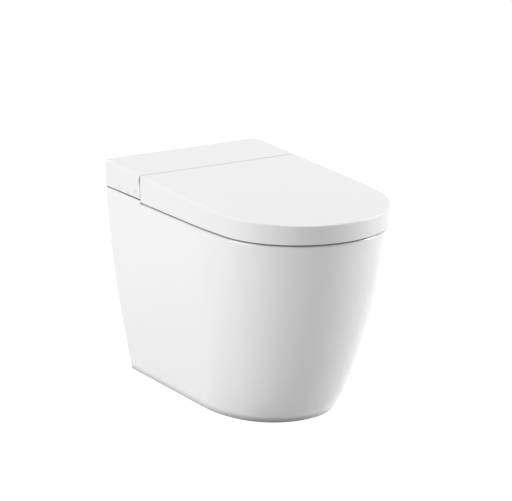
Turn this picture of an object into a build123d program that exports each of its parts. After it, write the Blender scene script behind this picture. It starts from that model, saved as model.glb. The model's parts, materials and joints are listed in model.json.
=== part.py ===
from build123d import *
from math import acos, atan, cos, hypot, pi, radians, sin, sqrt, tan
import os

os.makedirs("parts", exist_ok=True)

# Overall size, in millimetres: X across, front towards -Y, up +Z, standing on Z = 0.
# The works keep their places from the back wall, and a longer toilet grows at its front
WIDTH = 380.0
LENGTH = 672.0
BACK_HEIGHT = 477.0
TIP_DROP = 25.0
BACK_Y = 336.0
SEAM_Y = 173.3
SEAM_GAP = 2.2
SEAT_HOUSING = 65.5
DECK_STEP = 6.0
OVERRUN = 2.0

HALF = WIDTH / 2
FRONT = LENGTH - BACK_Y
RIM_TOP = BACK_HEIGHT - SEAT_HOUSING
DECK_TOP = RIM_TOP + DECK_STEP
TOP_SLOPE = TIP_DROP / LENGTH

# Clearances
RUN_FIT = 0.05
SLIDE_FIT = 0.2
SEAT_FIT = 0.3

# Plan of the top: straight flanks, a bowed stretch, a round nose
NOSE_TUCK = 6.0
BOW_RUN = 119.8
REAR_CORNER = 10.0
TOP_NOSE_ARC = HALF - NOSE_TUCK
TOP_SIDE_ARC = (HALF**2 + BOW_RUN**2 - TOP_NOSE_ARC**2) / (2 * NOSE_TUCK)

# Ceramic body: the skirt narrows and draws back towards the floor
CERAMIC_WALL = 12.0
RIM_SETBACK = 3.5
RIM_ROUND = 5.0
DECK_ROUND = 2.0
FOOT_TUCK = 51.5
FOOT_SETBACK = 162.0
FOOT_SIDE_ARC = 244.0
FOOT_NOSE_TUCK = 12.0
FOOT_HALF_WIDTH = HALF - FOOT_TUCK
FOOT_NOSE_ARC = FOOT_HALF_WIDTH - FOOT_NOSE_TUCK
FOOT_FRONT = FRONT - FOOT_SETBACK
SECTION_SHARES = (0.0, 0.2, 0.4, 0.6, 0.8, 1.0)
WIDTH_GROWTH_SHARES = (0.0, 0.285, 0.545, 0.755, 0.91, 1.0)
FRONT_GROWTH_SHARES = (0.0, 0.35, 0.58, 0.765, 0.895, 1.0)

# Bowl
BOWL_WALL = 10.0
RIM_SIDE = 66.0
RIM_FRONT = 52.0
BOWL_FRONT_TUCK = 12.0
BOWL_REAR_TUCK = 24.0
BOWL_REAR = 62.0
SUMP_Y = -92.0
SUMP_SHARE = 0.16
BOWL_HALF_WIDTH = HALF - RIM_SIDE
BOWL_FRONT = FRONT - RIM_FRONT
BOWL_FRONT_ARC = BOWL_HALF_WIDTH - BOWL_FRONT_TUCK
BOWL_REAR_ARC = BOWL_HALF_WIDTH - BOWL_REAR_TUCK
SUMP_FLOOR = RIM_TOP * SUMP_SHARE
BOWL_RISE_SHARES = (0.0, 0.09, 0.28, 0.55, 0.82, 1.0)
BOWL_SIZE_SHARES = (0.23, 0.36, 0.48, 0.70, 0.93, 1.0)
BOWL_LIP_ROUND = 4.0

# Trapway: along the sump, up the climb, over the crown, down the drop, back to the outlet
TRAP_BORE = 26.0
TRAP_WALL = 9.0
TRAP_SHARE = 0.243
CROWN_SHARE = 0.54
HORN_BOTTOM = 28.0
HORN_LEG = 22.0
CLIMB_START_Y = -28.0
CLIMB_END_Y = 72.0
DROP_Y = 152.0
OUTLET_FROM_WALL = 305.0
CLIMB_BEND = 60.0
DROP_BEND = 42.0
OUTLET_Y = BACK_Y - OUTLET_FROM_WALL
TRAP_HEIGHT = RIM_TOP * TRAP_SHARE
CROWN_HEIGHT = RIM_TOP * CROWN_SHARE
RETURN_HEIGHT = HORN_BOTTOM + DROP_BEND + HORN_LEG

# Service well in the deck, and the arch in the back wall
DECK_SIDE = 50.0
WELL_FRONT = 152.0
WELL_BACK = 322.0
WELL_CORNER = 14.0
ARCH_HALF_WIDTH = 95.0
ARCH_DROP = 71.5
ARCH_CORNER = 60.0
WELL_HALF_WIDTH = HALF - DECK_SIDE
ARCH_HEIGHT = DECK_TOP - ARCH_DROP

# Nozzle bay in the rear rim
BAY_HALF_WIDTH = 86.0
BAY_FRONT = 22.0
BAY_DEPTH = 56.5
BAY_FLOOR = RIM_TOP - BAY_DEPTH

# Lid
LID_GAP = 2.7
LID_WALL = 5.0
LID_SKIN = 3.0
LID_EDGE = 3.0
LID_BOTTOM = RIM_TOP + LID_GAP
LID_REAR = SEAM_Y - SEAM_GAP / 2

# Seat
SEAT_GAP = 4.0
SEAT_THICKNESS = 21.5
SEAT_INSET = 9.5
SEAT_REAR = 125.0
SEAT_CORNER = 16.0
SEAT_SHELL = 3.0
SEAT_BASE_THICKNESS = 2.5
SEAT_SIDE_WIDTH = 84.0
SEAT_FRONT_WIDTH = 74.0
SEAT_HOLE_REAR = 22.0
SEAT_HOLE_FRONT_TUCK = 10.0
SEAT_HOLE_REAR_TUCK = 20.0
SEAT_BOTTOM = RIM_TOP + SEAT_GAP
SEAT_TOP = SEAT_BOTTOM + SEAT_THICKNESS
SEAT_HOLE_HALF_WIDTH = HALF - SEAT_SIDE_WIDTH
SEAT_HOLE_FRONT = FRONT - SEAT_FRONT_WIDTH
SEAT_HOLE_FRONT_ARC = SEAT_HOLE_HALF_WIDTH - SEAT_HOLE_FRONT_TUCK
SEAT_HOLE_REAR_ARC = SEAT_HOLE_HALF_WIDTH - SEAT_HOLE_REAR_TUCK

# Hinge line, high and close to the seam so that the flush lid clears the cover
HINGE_Y = 161.0
HINGE_RISE = 48.0
SHAFT_RADIUS = 3.0
EYE_RADIUS = 7.0
POD_SETBACK = 72.0
POD_WIDTH = 56.0
ARM_GAP = 2.5
SEAT_ARM_WIDTH = 12.0
LID_ARM_WIDTH = 11.0
HINGE_Z = RIM_TOP + HINGE_RISE
POD_OUTER = HALF - POD_SETBACK
POD_INNER = POD_OUTER - POD_WIDTH
SEAT_ARM_INNER = POD_OUTER + ARM_GAP
SEAT_ARM_OUTER = SEAT_ARM_INNER + SEAT_ARM_WIDTH
LID_ARM_INNER = SEAT_ARM_OUTER + ARM_GAP
LID_ARM_OUTER = LID_ARM_INNER + LID_ARM_WIDTH

# Rear cover
COVER_FRONT = SEAM_Y + SEAM_GAP / 2
COVER_WALL = 3.0
COVER_FRONT_WALL = 7.0
SWING_CLEARANCE = 1.4
CHASSIS_PLATE = 3.0
COVER_BOTTOM = DECK_TOP + CHASSIS_PLATE

# Chassis
CHASSIS_INSET = 7.0
APRON_FRONT = 127.0
APRON_INSET = 9.0

# Nozzle drive, on a slope that falls towards the front
WAND_SLOPE = 18.0
WAND_TIP_Y = 62.0
WAND_TIP_DROP = 26.5
WAND_LENGTH = 232.0
WAND_RADIUS = 6.0
WAND_TRAVEL = 110.0
PINION_REACH = 118.0
MODULE = 1.0
PINION_TEETH = 14

# Buttons on the side wall
BUTTON_RADIUS = 6.5
BUTTON_RISE = 9.0
BUTTON_HEIGHT = COVER_BOTTOM + BUTTON_RISE
BUTTON_YS = (193.0, 227.0, 261.0)
BUTTON_TRAVEL = 1.2

SIDES = (-1, 1)


def top_plane(drop):
    """The sloping top surface of lid and cover, lowered by a vertical drop."""
    return Plane(origin=(0, BACK_Y, BACK_HEIGHT - drop), x_dir=(1, 0, 0), z_dir=(0, -TOP_SLOPE, 1))


def top_height(y):
    """Height of the sloping top surface at a place along the toilet."""
    return BACK_HEIGHT - (BACK_Y - y) * TOP_SLOPE


def nose_plan(half_width, side_arc, nose_arc, front, rear, inset, corner):
    """Plan outline drawn in by a parallel inset: flanks, bowed stretch and nose are tangent."""
    turn = acos((side_arc - half_width) / (side_arc - nose_arc))
    nose_y = nose_arc - front
    bow_y = nose_y + (side_arc - nose_arc) * sin(turn)
    bow_x = half_width - side_arc
    bow = side_arc - inset
    nose = nose_arc - inset
    edge = half_width - inset
    with BuildSketch() as plan:
        with BuildLine():
            for side in SIDES:
                Line((side * edge, rear - inset), (side * edge, bow_y))
                ThreePointArc(
                    (side * edge, bow_y),
                    (side * (bow_x + bow * cos(turn / 2)), bow_y - bow * sin(turn / 2)),
                    (side * (bow_x + bow * cos(turn)), bow_y - bow * sin(turn)),
                )
            ThreePointArc(
                (-nose * cos(turn), nose_y - nose * sin(turn)),
                (0, nose_y - nose),
                (nose * cos(turn), nose_y - nose * sin(turn)),
            )
            Line((-edge, rear - inset), (edge, rear - inset))
        make_face()
        if corner:
            fillet(plan.vertices().group_by(Axis.Y)[-1], corner)
    return plan.sketch


def top_plan(rear, inset, corner=0):
    """Plan of the lid's outline, drawn in by an inset, closed by a straight rear edge."""
    return nose_plan(HALF, TOP_SIDE_ARC, TOP_NOSE_ARC, FRONT, rear + inset, inset, corner)


def egg_plan(half_width, front, rear, front_arc, rear_arc):
    """Egg outline along Y: two end arcs joined by two tangent flank arcs."""
    front_y = front_arc - front
    rear_y = rear - rear_arc
    lean = (rear_arc - front_arc) / (rear_y - front_y)
    base_y = (rear_y**2 - front_y**2 + front_arc**2 - rear_arc**2) / (2 * (rear_y - front_y))
    linear = 2 * (front_arc - half_width + (base_y - front_y) * lean)
    constant = half_width**2 - front_arc**2 + (base_y - front_y) ** 2
    flank = 2 * constant / (sqrt(linear**2 - 4 * lean**2 * constant) - linear)
    flank_x = half_width - flank
    flank_y = base_y + lean * flank
    ends = []
    for end_y, arc in ((front_y, front_arc), (rear_y, rear_arc)):
        reach = hypot(flank_x, end_y - flank_y)
        ends.append((-arc * flank_x / reach, end_y + arc * (end_y - flank_y) / reach))
    (front_x, front_end), (rear_x, rear_end) = ends
    with BuildSketch() as plan:
        with BuildLine():
            for side in SIDES:
                ThreePointArc(
                    (side * front_x, front_end),
                    (side * half_width, flank_y),
                    (side * rear_x, rear_end),
                )
            ThreePointArc((-front_x, front_end), (0, -front), (front_x, front_end))
            ThreePointArc((-rear_x, rear_end), (0, rear), (rear_x, rear_end))
        make_face()
    return plan.sketch


def base_plan(rise, width_growth, front_growth, inset):
    """Plan of the ceramic at a share of its height, drawn in by a parallel inset."""
    half_width = FOOT_HALF_WIDTH + width_growth * (HALF - FOOT_HALF_WIDTH)
    front = FOOT_FRONT + front_growth * (FRONT - RIM_SETBACK - FOOT_FRONT)
    bow = 1 / ((1 - rise) / FOOT_SIDE_ARC + rise / TOP_SIDE_ARC)
    nose = FOOT_NOSE_ARC + width_growth * (TOP_NOSE_ARC - FOOT_NOSE_ARC)
    return nose_plan(half_width, bow, nose, front, BACK_Y, inset, REAR_CORNER)


def bowl_plan(size, wall):
    """Plan of the bowl at a share of its opening's size, grown outwards by a wall."""
    return egg_plan(
        BOWL_HALF_WIDTH * size + wall,
        (BOWL_FRONT + SUMP_Y) * size - SUMP_Y + wall,
        (BOWL_REAR - SUMP_Y) * size + SUMP_Y + wall,
        BOWL_FRONT_ARC * size + wall,
        BOWL_REAR_ARC * size + wall,
    )


def rim_face(piece):
    """The flat top of the rim, in front of the deck's step."""
    level_faces = piece.faces().filter_by(Axis.Z)
    return level_faces.filter_by(lambda face: abs(face.center().Z - RIM_TOP) < RUN_FIT)[0]


def save(piece, name):
    """Labels a finished piece and writes it under its own name."""
    piece.part.label = name
    export_step(piece.part, "parts/" + name + ".step")


# Ceramic body: skirt, bowl, rim, deck and trapway, fired as one piece
DECK_BOLT_SETBACK = 30.0
DECK_BOLT_YS = (205.0, 300.0)
DECK_HOLE = 7.0
RIM_PORT_DROP = 23.0
RIM_PORT_RADIUS = 8.5
RIM_PORT_END = 80.0
RIM_PORT_HEIGHT = BAY_FLOOR - RIM_PORT_DROP
deck_points = [(side * (HALF - DECK_BOLT_SETBACK), y) for side in SIDES for y in DECK_BOLT_YS]

skirt_rows = list(zip(SECTION_SHARES, WIDTH_GROWTH_SHARES, FRONT_GROWTH_SHARES))
with BuildPart() as skirt_hollow:
    for rise, width_growth, front_growth in skirt_rows:
        with BuildSketch(Plane.XY.offset(rise * (RIM_TOP - CERAMIC_WALL))):
            add(base_plan(rise, width_growth, front_growth, CERAMIC_WALL))
    loft(ruled=True)

bowl_rows = list(zip(BOWL_RISE_SHARES, BOWL_SIZE_SHARES))
with BuildPart() as bowl_hollow:
    for rise, size in bowl_rows:
        with BuildSketch(Plane.XY.offset(SUMP_FLOOR + rise * (DECK_TOP - SUMP_FLOOR))):
            add(bowl_plan(size, 0))
    loft()

with BuildPart() as bowl_shell:
    for rise, size in bowl_rows:
        with BuildSketch(Plane.XY.offset(SUMP_FLOOR - BOWL_WALL + rise * (RIM_TOP - SUMP_FLOOR))):
            add(bowl_plan(size, BOWL_WALL))
    loft(ruled=True)

trap_points = (
    (0, SUMP_Y, TRAP_HEIGHT),
    (0, CLIMB_START_Y, TRAP_HEIGHT),
    (0, CLIMB_END_Y, CROWN_HEIGHT),
    (0, DROP_Y, CROWN_HEIGHT),
    (0, DROP_Y, RETURN_HEIGHT),
    (0, OUTLET_Y, RETURN_HEIGHT),
    (0, OUTLET_Y, HORN_BOTTOM),
)
with BuildPart() as trap_pipe:
    with BuildLine() as trap_path:
        FilletPolyline(*trap_points, radius=[CLIMB_BEND, DROP_BEND, DROP_BEND, DROP_BEND, DROP_BEND])
    with BuildSketch(Plane(origin=trap_path.line @ 0, z_dir=trap_path.line % 0)):
        Circle(TRAP_BORE + TRAP_WALL)
    sweep(path=trap_path.line)

with BuildPart() as trap_bore:
    add(trap_path.line)
    with BuildSketch(Plane(origin=trap_path.line @ 0, z_dir=trap_path.line % 0)):
        Circle(TRAP_BORE)
    sweep(path=trap_path.line)

with BuildPart() as ceramic_body:
    for rise, width_growth, front_growth in skirt_rows:
        with BuildSketch(Plane.XY.offset(rise * DECK_TOP)):
            add(base_plan(rise, width_growth, front_growth, 0))
    loft()
    add(skirt_hollow.part, mode=Mode.SUBTRACT)
    add(bowl_shell.part)
    add(trap_pipe.part)
    add(bowl_hollow.part, mode=Mode.SUBTRACT)
    add(trap_bore.part, mode=Mode.SUBTRACT)
    with BuildSketch(Plane.XY.offset(RIM_TOP)):
        with Locations((0, SEAM_Y)):
            Rectangle(WIDTH + OVERRUN, LENGTH, align=(Align.CENTER, Align.MAX))
    extrude(amount=DECK_STEP + OVERRUN, mode=Mode.SUBTRACT)
    fillet(rim_face(ceramic_body).inner_wires()[0].edges(), BOWL_LIP_ROUND)
    deck_edges = ceramic_body.faces().filter_by(Axis.Z).sort_by(Axis.Z)[-1].outer_wire().edges()
    fillet(deck_edges.sort_by(Axis.Y)[1:], DECK_ROUND)
    rim_edges = rim_face(ceramic_body).outer_wire().edges()
    fillet(rim_edges.sort_by(Axis.Y)[:-1], RIM_ROUND)
    with BuildSketch(Plane.XY.offset(BAY_FLOOR)):
        with Locations((0, BAY_FRONT)):
            Rectangle(2 * BAY_HALF_WIDTH, WELL_FRONT + OVERRUN - BAY_FRONT, align=(Align.CENTER, Align.MIN))
    extrude(amount=DECK_TOP - BAY_FLOOR, mode=Mode.SUBTRACT)
    with BuildSketch(Plane.XY.offset(RIM_TOP - CERAMIC_WALL - OVERRUN)) as well:
        with Locations((0, WELL_FRONT)):
            Rectangle(2 * WELL_HALF_WIDTH, WELL_BACK - WELL_FRONT, align=(Align.CENTER, Align.MIN))
        fillet(well.vertices(), WELL_CORNER)
        with Locations(*deck_points):
            Circle(DECK_HOLE)
    extrude(amount=DECK_TOP, mode=Mode.SUBTRACT)
    with BuildSketch(Plane.XZ.offset(-BACK_Y - OVERRUN)) as arch:
        Rectangle(2 * ARCH_HALF_WIDTH, ARCH_HEIGHT, align=(Align.CENTER, Align.MIN))
        fillet(arch.vertices().group_by(Axis.Y)[-1], ARCH_CORNER)
    extrude(amount=CERAMIC_WALL + REAR_CORNER, mode=Mode.SUBTRACT)
    with BuildSketch(Plane.XZ.offset(-RIM_PORT_END)):
        with Locations((0, RIM_PORT_HEIGHT)):
            Circle(RIM_PORT_RADIUS)
    extrude(amount=RIM_PORT_END - SUMP_Y, mode=Mode.SUBTRACT)
save(ceramic_body, "ceramic_body")

# Outlet seal: rubber collar that stands on the floor and takes the ceramic horn
SEAL_FOOT_RADIUS = 62.0
SEAL_FOOT_HEIGHT = 6.0
SEAL_BODY_RADIUS = 46.0
SEAL_HEIGHT = 40.0
SEAL_THROAT = 27.0
with BuildPart(Plane.XY) as outlet_seal:
    with Locations((0, OUTLET_Y, 0)):
        Cylinder(SEAL_FOOT_RADIUS, SEAL_FOOT_HEIGHT, align=(Align.CENTER, Align.CENTER, Align.MIN))
        Cylinder(SEAL_BODY_RADIUS, SEAL_HEIGHT, align=(Align.CENTER, Align.CENTER, Align.MIN))
        Cylinder(
            SEAL_THROAT,
            SEAL_HEIGHT,
            align=(Align.CENTER, Align.CENTER, Align.MIN),
            mode=Mode.SUBTRACT,
        )
    with Locations((0, OUTLET_Y, HORN_BOTTOM)):
        Cylinder(
            TRAP_BORE + TRAP_WALL + SLIDE_FIT,
            SEAL_HEIGHT,
            align=(Align.CENTER, Align.CENTER, Align.MIN),
            mode=Mode.SUBTRACT,
        )
save(outlet_seal, "outlet_seal")

# Lid shell: wedge with a deep skirt, open beneath and behind, with its hinge eyes and bosses
LID_BOSS_REAR = (90.0, 60.0)
LID_BOSS_SIDE = (70.0, -120.0)
LID_BOSS_FRONT = 66.0
LID_BOSS_RADIUS = 5.0
LINER_GAP = 3.6
LINER_THICKNESS = 2.5
LINER_REAR = 112.0
LINER_RIB = 1.5
LINER_RIB_HEIGHT = 5.0
LINER_BOTTOM = SEAT_TOP + LINER_GAP
lid_bosses = [(side * (HALF - x), y) for side in SIDES for x, y in (LID_BOSS_REAR, LID_BOSS_SIDE)]
lid_bosses.append((0, LID_BOSS_FRONT - FRONT))
with BuildPart() as lid_hollow:
    with BuildSketch(Plane.XY.offset(LID_BOTTOM - OVERRUN)):
        add(top_plan(LID_REAR + OVERRUN, LID_WALL))
    extrude(amount=BACK_HEIGHT - LID_BOTTOM)
    split(bisect_by=top_plane(LID_SKIN), keep=Keep.BOTTOM)

with BuildPart() as lid_shell:
    with BuildSketch(Plane.XY.offset(LID_BOTTOM)):
        add(top_plan(LID_REAR, 0))
    extrude(amount=BACK_HEIGHT - LID_BOTTOM)
    split(bisect_by=top_plane(0), keep=Keep.BOTTOM)
    lid_top = lid_shell.faces().filter_by(lambda face: face.normal_at().Z > 1 / 2)
    fillet(lid_top.edges().sort_by(Axis.Y)[:-1], LID_EDGE)
    add(lid_hollow.part, mode=Mode.SUBTRACT)
    for side in SIDES:
        with BuildSketch(Plane.YZ.offset(side * LID_ARM_INNER)):
            with Locations((HINGE_Y, HINGE_Z)):
                Circle(EYE_RADIUS)
                Rectangle(
                    2 * EYE_RADIUS,
                    top_height(HINGE_Y) - LID_SKIN / 2 - HINGE_Z,
                    align=(Align.CENTER, Align.MIN),
                )
        extrude(amount=side * LID_ARM_WIDTH)
    with BuildSketch(Plane.XY.offset(LINER_BOTTOM + LINER_THICKNESS)):
        with Locations(*lid_bosses):
            Circle(LID_BOSS_RADIUS)
    extrude(until=Until.NEXT)
    with BuildSketch(Plane.YZ.offset(-LID_ARM_OUTER)):
        with Locations((HINGE_Y, HINGE_Z)):
            Circle(SHAFT_RADIUS + RUN_FIT)
    extrude(amount=2 * LID_ARM_OUTER, mode=Mode.SUBTRACT)
save(lid_shell, "lid_shell")

# Lid liner: the flat inner panel over the seat, with a stiffening edge
with BuildPart() as lid_liner:
    with BuildSketch(Plane.XY.offset(LINER_BOTTOM)):
        add(top_plan(LINER_REAR, LID_WALL + SEAT_FIT, SEAT_CORNER))
    extrude(amount=LINER_THICKNESS)
    with BuildSketch(Plane.XY.offset(LINER_BOTTOM)):
        add(top_plan(LINER_REAR, LID_WALL + SEAT_FIT, SEAT_CORNER))
        add(
            top_plan(LINER_REAR - LINER_RIB, LID_WALL + SEAT_FIT + LINER_RIB, SEAT_CORNER - LINER_RIB),
            mode=Mode.SUBTRACT,
        )
    extrude(amount=LINER_RIB_HEIGHT)
save(lid_liner, "lid_liner")

# Lid buffers: rubber buttons between the liner and the seat
LID_BUFFER_SIDE = 47.0
LID_BUFFER_REAR_Y = 40.0
LID_BUFFER_SPREAD = 78.0
LID_BUFFER_FRONT = 52.0
LID_BUFFER_RADIUS = 8.0
LID_BUFFER_ROUND = 0.8
lid_buffer_points = [
    (side * x, y)
    for side in SIDES
    for x, y in ((HALF - LID_BUFFER_SIDE, LID_BUFFER_REAR_Y), (LID_BUFFER_SPREAD, LID_BUFFER_FRONT - FRONT))
]
with BuildPart() as lid_buffers:
    with BuildSketch(Plane.XY.offset(SEAT_TOP + SEAT_FIT)):
        with Locations(*lid_buffer_points):
            Circle(LID_BUFFER_RADIUS)
    extrude(amount=LINER_BOTTOM - SEAT_TOP - SEAT_FIT)
    chamfer(lid_buffers.edges().group_by(Axis.Z)[0], LID_BUFFER_ROUND)
save(lid_buffers, "lid_buffers")


# Seat: upper shell, lower shell with the hinge arms, heating sheet, buffers
SEAT_ROUND = 7.0
SEAT_HOLE_ROUND = 9.0
ARM_ROOT_FRONT = 112.0
ARM_ROOT_BACK = 141.0
SEAT_SHOULDER_Y = SEAT_REAR + ARM_GAP
arm_middle = (SEAT_ARM_INNER + SEAT_ARM_OUTER) / 2


def seat_ring(inset):
    """Plan of the seat ring; an inset draws the outside in and grows the hole."""
    with BuildSketch() as plan:
        add(top_plan(SEAT_REAR - inset, SEAT_INSET + inset, SEAT_CORNER - inset))
        add(
            egg_plan(
                SEAT_HOLE_HALF_WIDTH + inset,
                SEAT_HOLE_FRONT + inset,
                SEAT_HOLE_REAR + inset,
                SEAT_HOLE_FRONT_ARC + inset,
                SEAT_HOLE_REAR_ARC + inset,
            ),
            mode=Mode.SUBTRACT,
        )
    return plan.sketch


with BuildPart() as seat_top:
    with BuildSketch(Plane.XY.offset(SEAT_BOTTOM + SEAT_BASE_THICKNESS)):
        add(seat_ring(0))
    extrude(amount=SEAT_TOP - SEAT_BOTTOM - SEAT_BASE_THICKNESS)
    seat_crown = seat_top.faces().sort_by(Axis.Z)[-1]
    fillet(seat_crown.outer_wire().edges(), SEAT_ROUND)
    seat_crown = seat_top.faces().sort_by(Axis.Z)[-1]
    fillet(seat_crown.inner_wires()[0].edges(), SEAT_HOLE_ROUND)
    with BuildSketch(Plane.XY.offset(SEAT_BOTTOM)):
        add(seat_ring(SEAT_SHELL + SEAT_ROUND / 2))
    extrude(amount=SEAT_TOP - SEAT_BOTTOM - SEAT_SHELL, mode=Mode.SUBTRACT)
save(seat_top, "seat_top")

with BuildPart() as seat_base:
    with BuildSketch(Plane.XY.offset(SEAT_BOTTOM)):
        add(seat_ring(0))
        with Locations(*[(side * arm_middle, ARM_ROOT_FRONT) for side in SIDES]):
            Rectangle(SEAT_ARM_WIDTH, ARM_ROOT_BACK - ARM_ROOT_FRONT, align=(Align.CENTER, Align.MIN))
    extrude(amount=SEAT_BASE_THICKNESS)
    for side in SIDES:
        with BuildSketch(Plane.YZ.offset(side * SEAT_ARM_INNER)):
            with BuildLine():
                Polyline(
                    (SEAT_SHOULDER_Y, SEAT_BOTTOM),
                    (ARM_ROOT_BACK, SEAT_BOTTOM),
                    (HINGE_Y + EYE_RADIUS * cos(pi / 6), HINGE_Z - EYE_RADIUS * sin(pi / 6)),
                    (HINGE_Y - EYE_RADIUS * cos(pi / 4), HINGE_Z + EYE_RADIUS * sin(pi / 4)),
                    (SEAT_SHOULDER_Y, SEAT_TOP),
                    close=True,
                )
            make_face()
            with Locations((HINGE_Y, HINGE_Z)):
                Circle(EYE_RADIUS)
        extrude(amount=side * SEAT_ARM_WIDTH)
    with BuildSketch(Plane.YZ.offset(-SEAT_ARM_OUTER)):
        with Locations((HINGE_Y, HINGE_Z)):
            Circle(SHAFT_RADIUS + RUN_FIT)
    extrude(amount=2 * SEAT_ARM_OUTER, mode=Mode.SUBTRACT)
save(seat_base, "seat_base")

HEATER_SHEET = 0.8
with BuildPart() as seat_heater:
    with BuildSketch(Plane.XY.offset(SEAT_TOP - SEAT_SHELL - HEATER_SHEET)):
        add(seat_ring(2 * SEAT_SHELL + SEAT_ROUND))
    extrude(amount=HEATER_SHEET)
save(seat_heater, "seat_heater")

SEAT_BUFFER_SIDE = 38.0
SEAT_BUFFER_REAR_Y = 20.0
SEAT_BUFFER_SPREAD = 96.0
SEAT_BUFFER_FRONT = 68.0
SEAT_BUFFER_TURN = 36.0
SEAT_BUFFER_LENGTH = 34.0
SEAT_BUFFER_WIDTH = 12.0
with BuildPart() as seat_buffers:
    with BuildSketch(Plane.XY.offset(RIM_TOP + SEAT_FIT)):
        for side in SIDES:
            with Locations((side * (HALF - SEAT_BUFFER_SIDE), SEAT_BUFFER_REAR_Y)):
                SlotOverall(SEAT_BUFFER_LENGTH, SEAT_BUFFER_WIDTH, rotation=90)
            with Locations((side * SEAT_BUFFER_SPREAD, SEAT_BUFFER_FRONT - FRONT)):
                SlotOverall(SEAT_BUFFER_LENGTH, SEAT_BUFFER_WIDTH, rotation=side * SEAT_BUFFER_TURN)
    extrude(amount=SEAT_BOTTOM - RIM_TOP - SEAT_FIT)
save(seat_buffers, "seat_buffers")


# Hinge shafts and rotary dampers: the left pair works the lid, the right pair the seat
DAMPER_RADIUS = 6.0
DAMPER_END_GAP = 1.0
SHAFT_DEPTH = 34.0
SHAFT_HEAD = 1.5


def hinge_shaft(side):
    """Steel shaft from inside the damper out through the seat arm and the lid arm."""
    with BuildPart() as shaft:
        with BuildSketch(Plane.YZ.offset(side * (POD_OUTER - SHAFT_DEPTH))):
            with Locations((HINGE_Y, HINGE_Z)):
                Circle(SHAFT_RADIUS)
        extrude(amount=side * (LID_ARM_OUTER + SHAFT_HEAD - POD_OUTER + SHAFT_DEPTH))
        with BuildSketch(Plane.YZ.offset(side * (LID_ARM_OUTER + RUN_FIT))):
            with Locations((HINGE_Y, HINGE_Z)):
                Circle(SHAFT_RADIUS + SHAFT_HEAD)
        extrude(amount=side * SHAFT_HEAD)
    return shaft


def rotary_damper(side):
    """Slim oil damper in the hinge pod, bored for its shaft."""
    with BuildPart() as damper:
        with BuildSketch(Plane.YZ.offset(side * (POD_INNER + DAMPER_END_GAP))):
            with Locations((HINGE_Y, HINGE_Z)):
                Circle(DAMPER_RADIUS)
        extrude(amount=side * (POD_OUTER - POD_INNER - 2 * DAMPER_END_GAP))
        with BuildSketch(Plane.YZ.offset(side * (POD_OUTER - SHAFT_DEPTH - DAMPER_END_GAP))):
            with Locations((HINGE_Y, HINGE_Z)):
                Circle(SHAFT_RADIUS + RUN_FIT)
        extrude(amount=side * (SHAFT_DEPTH + DAMPER_END_GAP), mode=Mode.SUBTRACT)
    return damper


save(hinge_shaft(-1), "lid_hinge_shaft")
save(hinge_shaft(1), "seat_hinge_shaft")
save(rotary_damper(-1), "lid_damper")
save(rotary_damper(1), "seat_damper")


# Rear cover: housing over the works, flush with the lid, with vent slots behind
COVER_EDGE = 3.0
SCREW_FRONT = (40.0, 190.0)
SCREW_REAR = (18.0, 314.0)
SCREW_BOSS_RADIUS = 5.0
SCREW_RADIUS = 1.9
SCREW_DEPTH = 14.0
VENT_COUNT = 9
VENT_PITCH = 7.0
VENT_WIDTH = 3.2
VENT_HEIGHT = 22.0
VENT_X = -108.0
VENT_RISE = 28.5
GLAND_X = 118.0
GLAND_RISE = 19.5
GLAND_RADIUS = 7.0
GUIDE_NOTCH = 12.5
GUIDE_NOTCH_HEIGHT = 14.5
BUTTON_HOLE = BUTTON_RADIUS + SLIDE_FIT
VENT_Z = COVER_BOTTOM + VENT_RISE
GLAND_Z = COVER_BOTTOM + GLAND_RISE
screw_points = [(side * (WELL_HALF_WIDTH - x), y) for side in SIDES for x, y in (SCREW_FRONT, SCREW_REAR)]
swing = hypot(LID_REAR - HINGE_Y, top_height(LID_REAR) - HINGE_Z) + SWING_CLEARANCE
with BuildPart() as cover_hollow:
    with BuildSketch(Plane.XY.offset(COVER_BOTTOM - OVERRUN)) as plan:
        with Locations((0, COVER_FRONT + COVER_FRONT_WALL)):
            Rectangle(
                WIDTH - 2 * COVER_WALL,
                BACK_Y - COVER_WALL - COVER_FRONT - COVER_FRONT_WALL,
                align=(Align.CENTER, Align.MIN),
            )
        fillet(plan.vertices().group_by(Axis.Y)[-1], REAR_CORNER - COVER_WALL)
    extrude(amount=BACK_HEIGHT - COVER_BOTTOM)
    split(bisect_by=top_plane(COVER_WALL), keep=Keep.BOTTOM)

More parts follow.
